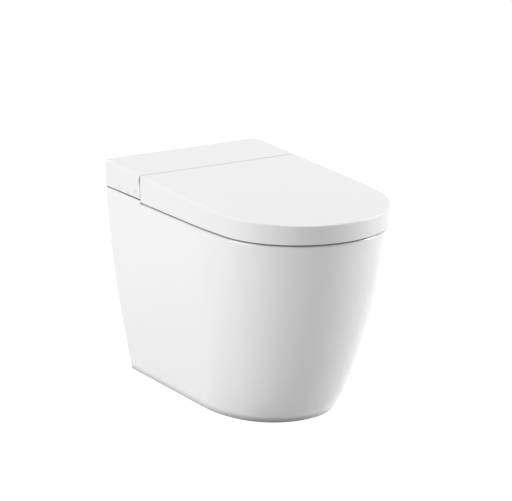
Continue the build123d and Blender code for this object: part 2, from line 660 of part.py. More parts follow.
with BuildPart() as rear_cover:
    with BuildSketch(Plane.XY.offset(COVER_BOTTOM)) as plan:
        with Locations((0, COVER_FRONT)):
            Rectangle(WIDTH, BACK_Y - COVER_FRONT, align=(Align.CENTER, Align.MIN))
        fillet(plan.vertices().group_by(Axis.Y)[-1], REAR_CORNER)
    extrude(amount=BACK_HEIGHT - COVER_BOTTOM + OVERRUN)
    split(bisect_by=top_plane(0), keep=Keep.BOTTOM)
    cover_top = rear_cover.faces().filter_by(lambda face: face.normal_at().Z > 1 / 2)
    fillet(cover_top.edges().sort_by(Axis.Y)[1:], COVER_EDGE)
    add(cover_hollow.part, mode=Mode.SUBTRACT)
    with BuildSketch(Plane.YZ.offset(-HALF - OVERRUN)):
        with Locations((HINGE_Y, HINGE_Z)):
            Circle(swing)
    extrude(amount=WIDTH + 2 * OVERRUN, mode=Mode.SUBTRACT)
    with BuildSketch(Plane.XY.offset(COVER_BOTTOM)):
        with Locations(*screw_points):
            Circle(SCREW_BOSS_RADIUS)
    extrude(until=Until.NEXT)
    with BuildSketch(Plane.XY.offset(COVER_BOTTOM)):
        with Locations(*screw_points):
            Circle(SCREW_RADIUS)
    extrude(amount=SCREW_DEPTH, mode=Mode.SUBTRACT)
    with BuildSketch(Plane.XZ.offset(-BACK_Y - OVERRUN)):
        with Locations((VENT_X, VENT_Z)):
            with GridLocations(VENT_PITCH, 0, VENT_COUNT, 1):
                SlotOverall(VENT_HEIGHT, VENT_WIDTH, rotation=90)
        with Locations((GLAND_X, GLAND_Z)):
            Circle(GLAND_RADIUS + SLIDE_FIT)
    extrude(amount=2 * COVER_WALL + OVERRUN, mode=Mode.SUBTRACT)
    with BuildSketch(Plane.YZ.offset(-HALF - OVERRUN)):
        with Locations(*[(y, BUTTON_HEIGHT) for y in BUTTON_YS]):
            Circle(BUTTON_HOLE)
    extrude(amount=COVER_WALL + 2 * OVERRUN, mode=Mode.SUBTRACT)
    with BuildSketch(Plane.XY.offset(COVER_BOTTOM)):
        with Locations((0, COVER_FRONT - OVERRUN)):
            Rectangle(2 * GUIDE_NOTCH, COVER_FRONT_WALL + 2 * OVERRUN, align=(Align.CENTER, Align.MIN))
    extrude(amount=GUIDE_NOTCH_HEIGHT, mode=Mode.SUBTRACT)
save(rear_cover, "rear_cover")

# Nozzle slope: a frame along the wand, u back and up along it, v square to it
slope = radians(WAND_SLOPE)
wand_tip = Vector(0, WAND_TIP_Y, RIM_TOP - WAND_TIP_DROP)
along = Vector(0, cos(slope), sin(slope))
square = Vector(0, -sin(slope), cos(slope))


def across(reach):
    """Plane square to the wand at a distance back from its tip; its local Y points down."""
    return Plane(origin=wand_tip + along * reach, x_dir=(1, 0, 0), z_dir=along)


def beside(x):
    """Plane along the wand at a place across the toilet: local X back up it, local Y square to it."""
    return Plane(origin=wand_tip + Vector(x, 0, 0), x_dir=along, z_dir=(1, 0, 0))


# Rack and pinion sizes
PITCH = pi * MODULE
PITCH_RADIUS = MODULE * PINION_TEETH / 2
ADDENDUM = 0.85 * MODULE
DEDENDUM = 1.2 * MODULE
BACKLASH = 0.11 * MODULE
PRESSURE_ANGLE = 20.0
RACK_STRIP = 2.5
RACK_WIDTH = 5.0
RACK_ROOT = WAND_RADIUS + RACK_STRIP
PITCH_LINE = RACK_ROOT + DEDENDUM
PINION_DROP = PITCH_LINE + PITCH_RADIUS
rack_teeth = round(WAND_TRAVEL / PITCH) + 1
rack_start = PINION_REACH - PITCH
rack_end = PINION_REACH + rack_teeth * PITCH

# Nozzle wand: round rod with a rack beneath, bored for water from its rear end
WAND_BORE = 2.2
TIP_NECK = 4.2
TIP_NECK_LENGTH = 8.0
TIP_LENGTH = 14.0
with BuildPart() as nozzle_wand:
    with BuildSketch(across(TIP_LENGTH)):
        Circle(WAND_RADIUS)
    extrude(amount=WAND_LENGTH - TIP_LENGTH)
    fillet(nozzle_wand.edges().sort_by(Axis.Y)[-1], WAND_RADIUS - TIP_NECK)
    with BuildSketch(across(TIP_LENGTH - TIP_NECK_LENGTH)):
        Circle(TIP_NECK)
    extrude(amount=TIP_NECK_LENGTH + OVERRUN)
    with BuildSketch(beside(-RACK_WIDTH / 2)):
        with BuildLine():
            Polyline(
                (rack_start, -WAND_RADIUS / 2),
                (rack_start, -RACK_ROOT),
                (rack_end, -RACK_ROOT),
                (rack_end, -WAND_RADIUS / 2),
                close=True,
            )
        make_face()
        for tooth in range(rack_teeth):
            middle = PINION_REACH + tooth * PITCH
            root = PITCH / 4 - BACKLASH + DEDENDUM * tan(radians(PRESSURE_ANGLE))
            tip = PITCH / 4 - BACKLASH - ADDENDUM * tan(radians(PRESSURE_ANGLE))
            with BuildLine():
                Polyline(
                    (middle - root, -RACK_ROOT),
                    (middle - tip, -PITCH_LINE - ADDENDUM),
                    (middle + tip, -PITCH_LINE - ADDENDUM),
                    (middle + root, -RACK_ROOT),
                    close=True,
                )
            make_face()
    extrude(amount=RACK_WIDTH)
    with BuildSketch(across(WAND_LENGTH)):
        Circle(WAND_BORE)
    extrude(amount=-(WAND_LENGTH - TIP_LENGTH), mode=Mode.SUBTRACT)
save(nozzle_wand, "nozzle_wand")

# Spray tip: rounded cap over the wand's neck, with its jets on top
JET_RADIUS = 0.8
JET_SPREAD = 2.6
with BuildPart() as nozzle_tip:
    with BuildSketch(across(0)):
        Circle(WAND_RADIUS)
    extrude(amount=TIP_LENGTH - RUN_FIT)
    fillet(nozzle_tip.edges().sort_by(Axis.Y)[0], WAND_RADIUS / 2)
    with BuildSketch(across(TIP_LENGTH - TIP_NECK_LENGTH - RUN_FIT)):
        Circle(TIP_NECK + RUN_FIT)
    extrude(amount=TIP_LENGTH, mode=Mode.SUBTRACT)
    jet_plane = Plane(origin=wand_tip + along * (TIP_LENGTH / 3), x_dir=(1, 0, 0), z_dir=square)
    with BuildSketch(jet_plane.offset(WAND_RADIUS - TIP_NECK / 2)):
        with GridLocations(JET_SPREAD, JET_SPREAD, 2, 2):
            Circle(JET_RADIUS)
    extrude(amount=WAND_RADIUS, mode=Mode.SUBTRACT)
save(nozzle_tip, "nozzle_tip")

# Drive pinion with its shaft, in mesh under the rack
PINION_WIDTH = 5.0
PINION_SHAFT = 1.5
MOTOR_FACE = 14.0
PINION_SHAFT_DEPTH = 8.0
MOTOR_RADIUS = 14.0
MOTOR_LENGTH = 19.0
pinion_centre = wand_tip + along * PINION_REACH - square * PINION_DROP
pinion_plane = Plane(origin=pinion_centre, x_dir=along, z_dir=(1, 0, 0))
root_radius = PITCH_RADIUS - DEDENDUM
tip_radius = PITCH_RADIUS + ADDENDUM
TOOTH_ROOT = 1.22 * MODULE
TOOTH_PITCH = pi / 4 * MODULE - BACKLASH
TOOTH_TIP = 0.36 * MODULE
with BuildPart() as nozzle_pinion:
    with BuildSketch(pinion_plane.offset(-PINION_WIDTH / 2)):
        Circle(root_radius)
        with PolarLocations(0, PINION_TEETH, start_angle=90 + 180 / PINION_TEETH):
            with BuildLine():
                for side in SIDES:
                    ThreePointArc(
                        (root_radius - DEDENDUM / 2, side * TOOTH_ROOT),
                        (PITCH_RADIUS, side * TOOTH_PITCH),
                        (tip_radius, side * TOOTH_TIP),
                    )
                Line((tip_radius, -TOOTH_TIP), (tip_radius, TOOTH_TIP))
                Line(
                    (root_radius - DEDENDUM / 2, -TOOTH_ROOT),
                    (root_radius - DEDENDUM / 2, TOOTH_ROOT),
                )
            make_face()
    extrude(amount=PINION_WIDTH)
    with BuildSketch(pinion_plane.offset(-PINION_WIDTH / 2)):
        Circle(PINION_SHAFT)
    extrude(amount=PINION_WIDTH / 2 + MOTOR_FACE + PINION_SHAFT_DEPTH)
save(nozzle_pinion, "nozzle_pinion")

# Stepper motor of the nozzle drive
MOTOR_BOSS = 4.5
MOTOR_BOSS_LENGTH = 1.5
with BuildPart() as nozzle_motor:
    with BuildSketch(pinion_plane.offset(MOTOR_FACE)):
        Circle(MOTOR_RADIUS)
    extrude(amount=MOTOR_LENGTH)
    chamfer(nozzle_motor.edges().sort_by(Axis.X)[-1], MOTOR_BOSS_LENGTH / 2)
    with BuildSketch(pinion_plane.offset(MOTOR_FACE - MOTOR_BOSS_LENGTH)):
        Circle(MOTOR_BOSS)
    extrude(amount=MOTOR_BOSS_LENGTH)
    with BuildSketch(pinion_plane.offset(MOTOR_FACE - MOTOR_BOSS_LENGTH)):
        Circle(PINION_SHAFT + RUN_FIT)
    extrude(amount=MOTOR_BOSS_LENGTH + PINION_SHAFT_DEPTH + RUN_FIT, mode=Mode.SUBTRACT)
save(nozzle_motor, "nozzle_motor")

# Nozzle guide: slotted block round the wand, feet on the chassis, cheek for the motor
GUIDE_HALF_WIDTH = 11.0
GUIDE_HALF_HEIGHT = 9.0
GUIDE_START = 18.0
GUIDE_END = 182.0
GUIDE_SLOT = RACK_WIDTH / 2 + 0.7
CHEEK = 2.2
CHEEK_START = 101.0
CHEEK_END = 135.0
CHEEK_DROP = 30.0
FOOT_START = 214.0
FOOT_LENGTH = 22.0
FOOT_REACH = 24.0
FOOT_PLATE = 2.5
FOOT_WEB = 5.0
with BuildPart() as nozzle_guide:
    with BuildSketch(across(GUIDE_START)):
        Rectangle(2 * GUIDE_HALF_WIDTH, 2 * GUIDE_HALF_HEIGHT)
    extrude(amount=GUIDE_END - GUIDE_START)
    fillet(nozzle_guide.edges().sort_by(SortBy.LENGTH)[-4:], CHEEK)
    for side in SIDES:
        with BuildSketch(Plane.XY.offset(COVER_BOTTOM)):
            with Locations((side * FOOT_REACH, FOOT_START)):
                Rectangle(
                    FOOT_REACH - GUIDE_SLOT - SLIDE_FIT,
                    FOOT_LENGTH,
                    align=(Align.MAX if side > 0 else Align.MIN, Align.MIN),
                )
        extrude(amount=FOOT_PLATE)
        with BuildSketch(Plane.XY.offset(COVER_BOTTOM)):
            with Locations((side * GUIDE_HALF_WIDTH, FOOT_START)):
                Rectangle(FOOT_WEB, FOOT_LENGTH, align=(Align.MAX if side > 0 else Align.MIN, Align.MIN))
        extrude(amount=2 * GUIDE_HALF_HEIGHT)
    with BuildSketch(beside(GUIDE_HALF_WIDTH - CHEEK / 2)):
        with Locations((CHEEK_START, 0)):
            Rectangle(CHEEK_END - CHEEK_START, CHEEK_DROP, align=(Align.MIN, Align.MAX))
        with Locations((PINION_REACH, -PINION_DROP)):
            Circle(MOTOR_BOSS + SLIDE_FIT, mode=Mode.SUBTRACT)
    extrude(amount=CHEEK)
    with BuildSketch(across(GUIDE_START - OVERRUN)):
        Circle(WAND_RADIUS + SLIDE_FIT)
    extrude(amount=GUIDE_END, mode=Mode.SUBTRACT)
    with BuildSketch(across(GUIDE_START - OVERRUN)):
        Rectangle(2 * GUIDE_SLOT, 2 * GUIDE_HALF_HEIGHT, align=(Align.CENTER, Align.MIN))
    extrude(amount=GUIDE_END, mode=Mode.SUBTRACT)
save(nozzle_guide, "nozzle_guide")

# Chassis: stepped tray on the deck with hinge pods, slots for the drive and holes for what hangs below
CHASSIS_CORNER = 8.0
RISER_BACK = SEAM_Y - SEAT_FIT
DRIVE_SLOT = 13.0
DRIVE_SLOT_BACK = 211.0
MOTOR_SLOT = 37.0
MOTOR_SLOT_FRONT = 161.0
MOTOR_SLOT_BACK = 199.0
POD_HALF_DEPTH = 7.2
POD_BACK = 4.5
DECK_BOLT_RADIUS = 3.0
WIRE_HOLE = 6.0
WIRE_HOLES = ((-60.0, 308.0), (64.0, 308.0))
with BuildPart() as chassis:
    with BuildSketch(Plane.XY.offset(DECK_TOP)) as plate:
        with Locations((0, RISER_BACK - CHASSIS_PLATE)):
            Rectangle(
                2 * (HALF - CHASSIS_INSET),
                BACK_Y - CHASSIS_INSET - RISER_BACK + CHASSIS_PLATE,
                align=(Align.CENTER, Align.MIN),
            )
        fillet(plate.vertices().group_by(Axis.Y)[-1], CHASSIS_CORNER)
    extrude(amount=CHASSIS_PLATE)
    with BuildSketch(Plane.XY.offset(RIM_TOP)) as apron:
        with Locations((0, APRON_FRONT)):
            Rectangle(2 * (HALF - APRON_INSET), RISER_BACK - APRON_FRONT, align=(Align.CENTER, Align.MIN))
        fillet(apron.vertices().group_by(Axis.Y)[0], CHASSIS_CORNER)
    extrude(amount=CHASSIS_PLATE)
    with BuildSketch(Plane.XY.offset(RIM_TOP)):
        with Locations((0, RISER_BACK)):
            Rectangle(2 * (HALF - APRON_INSET), CHASSIS_PLATE, align=(Align.CENTER, Align.MAX))
    extrude(amount=DECK_TOP - RIM_TOP + CHASSIS_PLATE)
    for side in SIDES:
        with BuildSketch(Plane.YZ.offset(side * POD_INNER)):
            with Locations((HINGE_Y, HINGE_Z)):
                Circle(POD_HALF_DEPTH)
            with Locations((HINGE_Y - POD_HALF_DEPTH, HINGE_Z)):
                Rectangle(
                    POD_HALF_DEPTH + POD_BACK,
                    HINGE_Z - RIM_TOP - CHASSIS_PLATE / 2,
                    align=(Align.MIN, Align.MAX),
                )
        extrude(amount=side * (POD_OUTER - POD_INNER))
        with BuildSketch(Plane.YZ.offset(side * (POD_OUTER + OVERRUN))):
            with Locations((HINGE_Y, HINGE_Z)):
                Circle(DAMPER_RADIUS + RUN_FIT)
        extrude(amount=-side * (POD_OUTER + OVERRUN - POD_INNER - DAMPER_END_GAP), mode=Mode.SUBTRACT)
        with BuildSketch(Plane.YZ.offset(side * POD_INNER - OVERRUN)):
            with Locations((HINGE_Y, HINGE_Z)):
                Circle(SHAFT_RADIUS)
        extrude(amount=2 * OVERRUN, mode=Mode.SUBTRACT)
    with BuildSketch(Plane.XY.offset(RIM_TOP - OVERRUN)):
        with Locations((0, APRON_FRONT - OVERRUN)):
            Rectangle(2 * DRIVE_SLOT, DRIVE_SLOT_BACK - APRON_FRONT, align=(Align.CENTER, Align.MIN))
        with Locations((0, MOTOR_SLOT_FRONT)):
            Rectangle(MOTOR_SLOT, MOTOR_SLOT_BACK - MOTOR_SLOT_FRONT, align=(Align.MIN, Align.MIN))
        with Locations(*deck_points):
            Circle(DECK_BOLT_RADIUS + SLIDE_FIT)
        with Locations(*screw_points):
            Circle(SCREW_RADIUS + SLIDE_FIT)
        with Locations(*WIRE_HOLES):
            Circle(WIRE_HOLE)
    extrude(amount=DECK_TOP - RIM_TOP + CHASSIS_PLATE + 2 * OVERRUN, mode=Mode.SUBTRACT)
save(chassis, "chassis")

# Deck fixings: bolts, flanged nuts below the ceramic, rubber sleeves in its holes
BOLT_HEAD = 5.0
BOLT_HEAD_HEIGHT = 4.0
BOLT_LENGTH = 34.0
NUT_RADIUS = 5.6
NUT_FLANGE = 10.0
NUT_FLANGE_HEIGHT = 2.0
NUT_HEIGHT = 7.0
deck_underside = RIM_TOP - CERAMIC_WALL
with BuildPart() as deck_bolts:
    with BuildSketch(Plane.XY.offset(COVER_BOTTOM)):
        with Locations(*deck_points):
            RegularPolygon(BOLT_HEAD, 6)
    extrude(amount=BOLT_HEAD_HEIGHT)
    with BuildSketch(Plane.XY.offset(COVER_BOTTOM)):
        with Locations(*deck_points):
            Circle(DECK_BOLT_RADIUS)
    extrude(amount=-BOLT_LENGTH)
save(deck_bolts, "deck_bolts")

with BuildPart() as deck_nuts:
    with BuildSketch(Plane.XY.offset(deck_underside)):
        with Locations(*deck_points):
            Circle(NUT_FLANGE)
    extrude(amount=-NUT_FLANGE_HEIGHT)
    with BuildSketch(Plane.XY.offset(deck_underside)):
        with Locations(*deck_points):
            RegularPolygon(NUT_RADIUS, 6)
    extrude(amount=-NUT_HEIGHT)
    with BuildSketch(Plane.XY.offset(deck_underside)):
        with Locations(*deck_points):
            Circle(DECK_BOLT_RADIUS + RUN_FIT)
    extrude(amount=-NUT_HEIGHT, mode=Mode.SUBTRACT)
save(deck_nuts, "deck_nuts")

with BuildPart() as deck_sleeves:
    with BuildSketch(Plane.XY.offset(deck_underside)):
        with Locations(*deck_points):
            Circle(DECK_HOLE - SLIDE_FIT)
            Circle(DECK_BOLT_RADIUS + RUN_FIT, mode=Mode.SUBTRACT)
    extrude(amount=DECK_TOP - deck_underside)
save(deck_sleeves, "deck_sleeves")

# Cover screws, driven up through the chassis into the cover's bosses
SCREW_HEAD = 4.0
SCREW_HEAD_HEIGHT = 2.4
with BuildPart() as cover_screws:
    with BuildSketch(Plane.XY.offset(DECK_TOP)):
        with Locations(*screw_points):
            Circle(SCREW_HEAD)
    extrude(amount=-SCREW_HEAD_HEIGHT)
    with BuildSketch(Plane.XY.offset(DECK_TOP)):
        with Locations(*screw_points):
            Circle(SCREW_RADIUS - RUN_FIT)
    extrude(amount=CHASSIS_PLATE + SCREW_DEPTH - OVERRUN)
save(cover_screws, "cover_screws")

# Nozzle bay: hollow nose in the bowl's rear wall, leaning back, with wand port, dryer port and intake
NOSE_FIT = 1.0
NOSE_WALL = 2.5
NOSE_TOP = RIM_TOP - SEAT_FIT
NOSE_BOTTOM = BAY_FLOOR + SEAT_FIT
NOSE_FRONT = 54.0
NOSE_LEAN = 8.0
NOSE_BACK = 146.0
NOSE_ROUND = 6.0
NOSE_SLOT_FRONT = 103.0
PORT_RADIUS = 9.0
PORT_LEAD = 18.0
DRYER_X = 55.0
DRYER_WIDTH = 36.0
DRYER_HEIGHT = 24.0
DRYER_Z = RIM_TOP - WAND_TIP_DROP
INTAKE_X = -52.0
INTAKE_COUNT = 5
INTAKE_PITCH = 7.0
INTAKE_LENGTH = 38.0
INTAKE_WIDTH = 3.0
nose_lean = atan(NOSE_LEAN / (NOSE_TOP - NOSE_BOTTOM))
nose_up = Vector(0, sin(nose_lean), cos(nose_lean))
nose_out = Vector(0, -cos(nose_lean), sin(nose_lean))


def nose_face(x, height, stand_off):
    """Plane on the nose's leaning front at a height, standing off its surface; local Y runs up it."""
    base = Vector(x, NOSE_FRONT + (height - NOSE_BOTTOM) * tan(nose_lean), height)
    return Plane(origin=base + nose_out * stand_off, x_dir=(1, 0, 0), z_dir=nose_out)


FLAP_MARGIN = 2.5
FLAP_THICKNESS = 2.0
FLAP_STAND_OFF = 0.8
FLAP_PIN = 1.2
FLAP_PIN_STAND_OFF = 3.0
LUG_WIDTH = 2.5
LUG_RADIUS = 3.0
flap_hinge_height = DRYER_Z + DRYER_HEIGHT / 2 + FLAP_PIN_STAND_OFF
flap_plane = nose_face(DRYER_X, flap_hinge_height, FLAP_PIN_STAND_OFF)
flap_half_width = DRYER_WIDTH / 2 + FLAP_MARGIN
with BuildPart() as nozzle_bay:
    with BuildSketch(Plane.YZ.offset(-BAY_HALF_WIDTH + NOSE_FIT)):
        with BuildLine():
            Polyline(
                (NOSE_FRONT, NOSE_BOTTOM),
                (NOSE_FRONT + NOSE_LEAN, NOSE_TOP),
                (NOSE_BACK, NOSE_TOP),
                (NOSE_BACK, NOSE_BOTTOM),
                close=True,
            )
        make_face()
    extrude(amount=2 * (BAY_HALF_WIDTH - NOSE_FIT))
    fillet(nozzle_bay.edges().filter_by(Axis.X).group_by(Axis.Y)[1], NOSE_ROUND / 2)
    with BuildSketch(Plane.YZ.offset(-BAY_HALF_WIDTH + NOSE_FIT + NOSE_WALL)):
        with BuildLine():
            Polyline(
                (NOSE_FRONT + NOSE_WALL, NOSE_BOTTOM + NOSE_WALL),
                (NOSE_FRONT + NOSE_LEAN + NOSE_WALL, NOSE_TOP - NOSE_WALL),
                (NOSE_BACK + OVERRUN, NOSE_TOP - NOSE_WALL),
                (NOSE_BACK + OVERRUN, NOSE_BOTTOM + NOSE_WALL),
                close=True,
            )
        make_face()
    extrude(amount=2 * (BAY_HALF_WIDTH - NOSE_FIT - NOSE_WALL), mode=Mode.SUBTRACT)
    with BuildSketch(across(-PORT_LEAD)):
        Circle(PORT_RADIUS)
    extrude(amount=PORT_LEAD + NOSE_ROUND, mode=Mode.SUBTRACT)
    with BuildSketch(nose_face(DRYER_X, DRYER_Z, OVERRUN)):
        Rectangle(DRYER_WIDTH, DRYER_HEIGHT)
    extrude(amount=-NOSE_WALL - 2 * OVERRUN, mode=Mode.SUBTRACT)
    with BuildSketch(nose_face(INTAKE_X, DRYER_Z, OVERRUN)):
        with GridLocations(0, INTAKE_PITCH, 1, INTAKE_COUNT):
            SlotOverall(INTAKE_LENGTH, INTAKE_WIDTH)
    extrude(amount=-NOSE_WALL - 2 * OVERRUN, mode=Mode.SUBTRACT)
    with BuildSketch(Plane.XY.offset(NOSE_TOP - NOSE_WALL - OVERRUN)):
        with Locations((0, NOSE_SLOT_FRONT)):
            Rectangle(2 * DRIVE_SLOT, LENGTH, align=(Align.CENTER, Align.MIN))
    extrude(amount=NOSE_WALL + 2 * OVERRUN, mode=Mode.SUBTRACT)
    for side in SIDES:
        lug_start = DRYER_X + side * (flap_half_width + SEAT_FIT)
        lug_origin = (lug_start, flap_plane.origin.Y, flap_plane.origin.Z)
        lug_plane = Plane(origin=lug_origin, x_dir=nose_up, z_dir=(1, 0, 0))
        with BuildSketch(lug_plane):
            Circle(LUG_RADIUS)
            Rectangle(2 * LUG_RADIUS, FLAP_PIN_STAND_OFF + NOSE_WALL / 2, align=(Align.CENTER, Align.MAX))
            Circle(FLAP_PIN + RUN_FIT, mode=Mode.SUBTRACT)
        extrude(amount=side * LUG_WIDTH)
save(nozzle_bay, "nozzle_bay")

# Wiper seal in the wand's port
with BuildPart() as port_seal:
    with BuildSketch(across(-NOSE_ROUND / 2)):
        Circle(PORT_RADIUS - SLIDE_FIT)
        Circle(WAND_RADIUS + SLIDE_FIT, mode=Mode.SUBTRACT)
    extrude(amount=NOSE_ROUND / 2)
save(port_seal, "port_seal")

# Dryer flap: plate over the port, hung on pins between the nose's lugs
with BuildPart() as dryer_flap:
    with BuildSketch(nose_face(DRYER_X, flap_hinge_height, FLAP_STAND_OFF)):
        Rectangle(2 * flap_half_width, DRYER_HEIGHT + 2 * FLAP_MARGIN, align=(Align.CENTER, Align.MAX))
    extrude(amount=FLAP_THICKNESS)
    with BuildSketch(Plane(origin=flap_plane.origin - Vector(flap_half_width, 0, 0), z_dir=(1, 0, 0))):
        Circle(FLAP_THICKNESS)
    extrude(amount=2 * flap_half_width)
    pin_reach = flap_half_width + SEAT_FIT + LUG_WIDTH
    with BuildSketch(Plane(origin=flap_plane.origin - Vector(pin_reach, 0, 0), z_dir=(1, 0, 0))):
        Circle(FLAP_PIN)
    extrude(amount=2 * pin_reach)
save(dryer_flap, "dryer_flap")

# Blower: scroll housing hung under the chassis, impeller, motor, and the duct to the dryer port
BLOWER_SETBACK = 48.0
BLOWER_Y = 238.0
BLOWER_RADIUS = 42.0
BLOWER_HEIGHT = 37.2
BLOWER_WALL = 2.0
SCROLL_OFFSET = 26.0
SCROLL_WIDTH = 34.0
SCROLL_FRONT = 194.0
BLOWER_TOP = DECK_TOP - SEAT_FIT
BLOWER_BOTTOM = BLOWER_TOP - BLOWER_HEIGHT
BLOWER_X = WELL_HALF_WIDTH - BLOWER_SETBACK
SCROLL_X = BLOWER_X - SCROLL_OFFSET
BLOWER_INLET = 20.0
IMPELLER_RADIUS = 33.0
IMPELLER_HEIGHT = 22.0
IMPELLER_BASE = 2.0
IMPELLER_LIFT = 4.0
IMPELLER_HUB = 9.0
IMPELLER_BLADES = 20
BLADE_DEPTH = 9.0
BLADE_WIDTH = 1.4
BLADE_TURN = 35.0
BLOWER_SHAFT = 2.0
BLOWER_SHAFT_DEPTH = 22.0
BLOWER_MOTOR_RADIUS = 18.0
BLOWER_MOTOR_LENGTH = 30.0
DUCT_WALL = 1.6
DUCT_MIDDLE_Y = 150.0
DUCT_END_GAP = 0.6
with BuildPart() as blower_housing:
    with BuildSketch(Plane.XY.offset(BLOWER_BOTTOM)):
        with Locations((BLOWER_X, BLOWER_Y)):
            Circle(BLOWER_RADIUS)
        with Locations((SCROLL_X, SCROLL_FRONT)):
            Rectangle(SCROLL_WIDTH, BLOWER_Y - SCROLL_FRONT, align=(Align.CENTER, Align.MIN))
    extrude(amount=BLOWER_TOP - BLOWER_BOTTOM)
    with BuildSketch(Plane.XY.offset(BLOWER_BOTTOM + BLOWER_WALL)):
        with Locations((BLOWER_X, BLOWER_Y)):
            Circle(BLOWER_RADIUS - BLOWER_WALL)
        with Locations((SCROLL_X, SCROLL_FRONT - OVERRUN)):
            Rectangle(
                SCROLL_WIDTH - 2 * BLOWER_WALL,
                BLOWER_Y - SCROLL_FRONT + OVERRUN,
                align=(Align.CENTER, Align.MIN),
            )
    extrude(amount=BLOWER_TOP - BLOWER_BOTTOM - 2 * BLOWER_WALL, mode=Mode.SUBTRACT)
    with BuildSketch(Plane.XY.offset(BLOWER_TOP)):
        with Locations((BLOWER_X, BLOWER_Y)):
            Circle(BLOWER_INLET)
    extrude(amount=-2 * BLOWER_WALL, mode=Mode.SUBTRACT)
    with BuildSketch(Plane.XY.offset(BLOWER_BOTTOM)):
        with Locations((BLOWER_X, BLOWER_Y)):
            Circle(BLOWER_SHAFT + SEAT_FIT)
    extrude(amount=2 * BLOWER_WALL, mode=Mode.SUBTRACT)
save(blower_housing, "blower_housing")

with BuildPart() as blower_impeller:
    with BuildSketch(Plane.XY.offset(BLOWER_BOTTOM + IMPELLER_LIFT)):
        with Locations((BLOWER_X, BLOWER_Y)):
            Circle(IMPELLER_RADIUS)
    extrude(amount=IMPELLER_BASE)
    with BuildSketch(Plane.XY.offset(BLOWER_BOTTOM + IMPELLER_LIFT)):
        with Locations((BLOWER_X, BLOWER_Y)):
            Circle(IMPELLER_HUB)
    extrude(amount=IMPELLER_HEIGHT / 2)
    with BuildSketch(Plane.XY.offset(BLOWER_BOTTOM + IMPELLER_LIFT)):
        with Locations((BLOWER_X, BLOWER_Y)):
            with PolarLocations(IMPELLER_RADIUS - BLADE_DEPTH / 2, IMPELLER_BLADES):
                Rectangle(BLADE_DEPTH, BLADE_WIDTH, rotation=BLADE_TURN)
    extrude(amount=IMPELLER_HEIGHT)
    with BuildSketch(Plane.XY.offset(BLOWER_BOTTOM + IMPELLER_LIFT + IMPELLER_HEIGHT - IMPELLER_BASE)):
        with Locations((BLOWER_X, BLOWER_Y)):
            Circle(IMPELLER_RADIUS)
            Circle(IMPELLER_RADIUS - BLADE_DEPTH, mode=Mode.SUBTRACT)
    extrude(amount=IMPELLER_BASE)
    with BuildSketch(Plane.XY.offset(BLOWER_BOTTOM + IMPELLER_LIFT)):
        with Locations((BLOWER_X, BLOWER_Y)):
            Circle(BLOWER_SHAFT)
    extrude(amount=-IMPELLER_LIFT - BLOWER_SHAFT_DEPTH)
save(blower_impeller, "blower_impeller")

with BuildPart() as blower_motor:
    with BuildSketch(Plane.XY.offset(BLOWER_BOTTOM)):
        with Locations((BLOWER_X, BLOWER_Y)):
            Circle(BLOWER_MOTOR_RADIUS)
    extrude(amount=-BLOWER_MOTOR_LENGTH)
    chamfer(blower_motor.edges().group_by(Axis.Z)[0], BLOWER_WALL / 2)
    with BuildSketch(Plane.XY.offset(BLOWER_BOTTOM)):
        with Locations((BLOWER_X, BLOWER_Y)):
            Circle(BLOWER_SHAFT + RUN_FIT)
    extrude(amount=-BLOWER_SHAFT_DEPTH - RUN_FIT, mode=Mode.SUBTRACT)
save(blower_motor, "blower_motor")

duct_rear_z = (BLOWER_BOTTOM + BLOWER_TOP) / 2
duct_front_y = NOSE_FRONT + NOSE_LEAN + NOSE_WALL + DUCT_END_GAP
duct_rows = (
    (SCROLL_FRONT, SCROLL_X, duct_rear_z, SCROLL_WIDTH, BLOWER_TOP - BLOWER_BOTTOM),
    (DUCT_MIDDLE_Y, DRYER_X, DRYER_Z, DRYER_WIDTH, DRYER_HEIGHT),
    (duct_front_y, DRYER_X, DRYER_Z, DRYER_WIDTH, DRYER_HEIGHT),
)
with BuildPart() as dryer_duct:
    for y, x, z, width, height in duct_rows:
        with BuildSketch(Plane.XZ.offset(-y)):
            with Locations((x, z)):
                Rectangle(width, height)
    loft(ruled=True)
    for y, x, z, width, height in duct_rows:
        with BuildSketch(Plane.XZ.offset(-y)):
            with Locations((x, z)):
                Rectangle(width - 2 * DUCT_WALL, height - 2 * DUCT_WALL)
    loft(ruled=True, mode=Mode.SUBTRACT)
save(dryer_duct, "dryer_duct")

# Heating coil in the duct: a zigzag strip on a mica board
COIL_LENGTH = 46.0
COIL_BOARD = 1.0
COIL_WIRE = 0.8
COIL_TURNS = 7
COIL_START = 82.0
coil_pitch = COIL_LENGTH / COIL_TURNS
with BuildPart() as dryer_heater:
    with BuildSketch(Plane.XZ.offset(-COIL_START)):
        with Locations((DRYER_X, DRYER_Z)):
            Rectangle(DRYER_WIDTH - 2 * DUCT_WALL - 2 * SLIDE_FIT, COIL_BOARD)
    extrude(amount=-COIL_LENGTH)
    for turn in range(COIL_TURNS):
        with BuildSketch(Plane.XZ.offset(-COIL_START - (turn + 1 / 4) * coil_pitch)):
            with Locations((DRYER_X, DRYER_Z)):
                Rectangle(DRYER_WIDTH / 2, DRYER_HEIGHT / 2)
                Rectangle(
                    DRYER_WIDTH / 2 - 2 * COIL_WIRE,
                    DRYER_HEIGHT / 2 - 2 * COIL_WIRE,
                    mode=Mode.SUBTRACT,
                )
        extrude(amount=-COIL_WIRE)
save(dryer_heater, "dryer_heater")

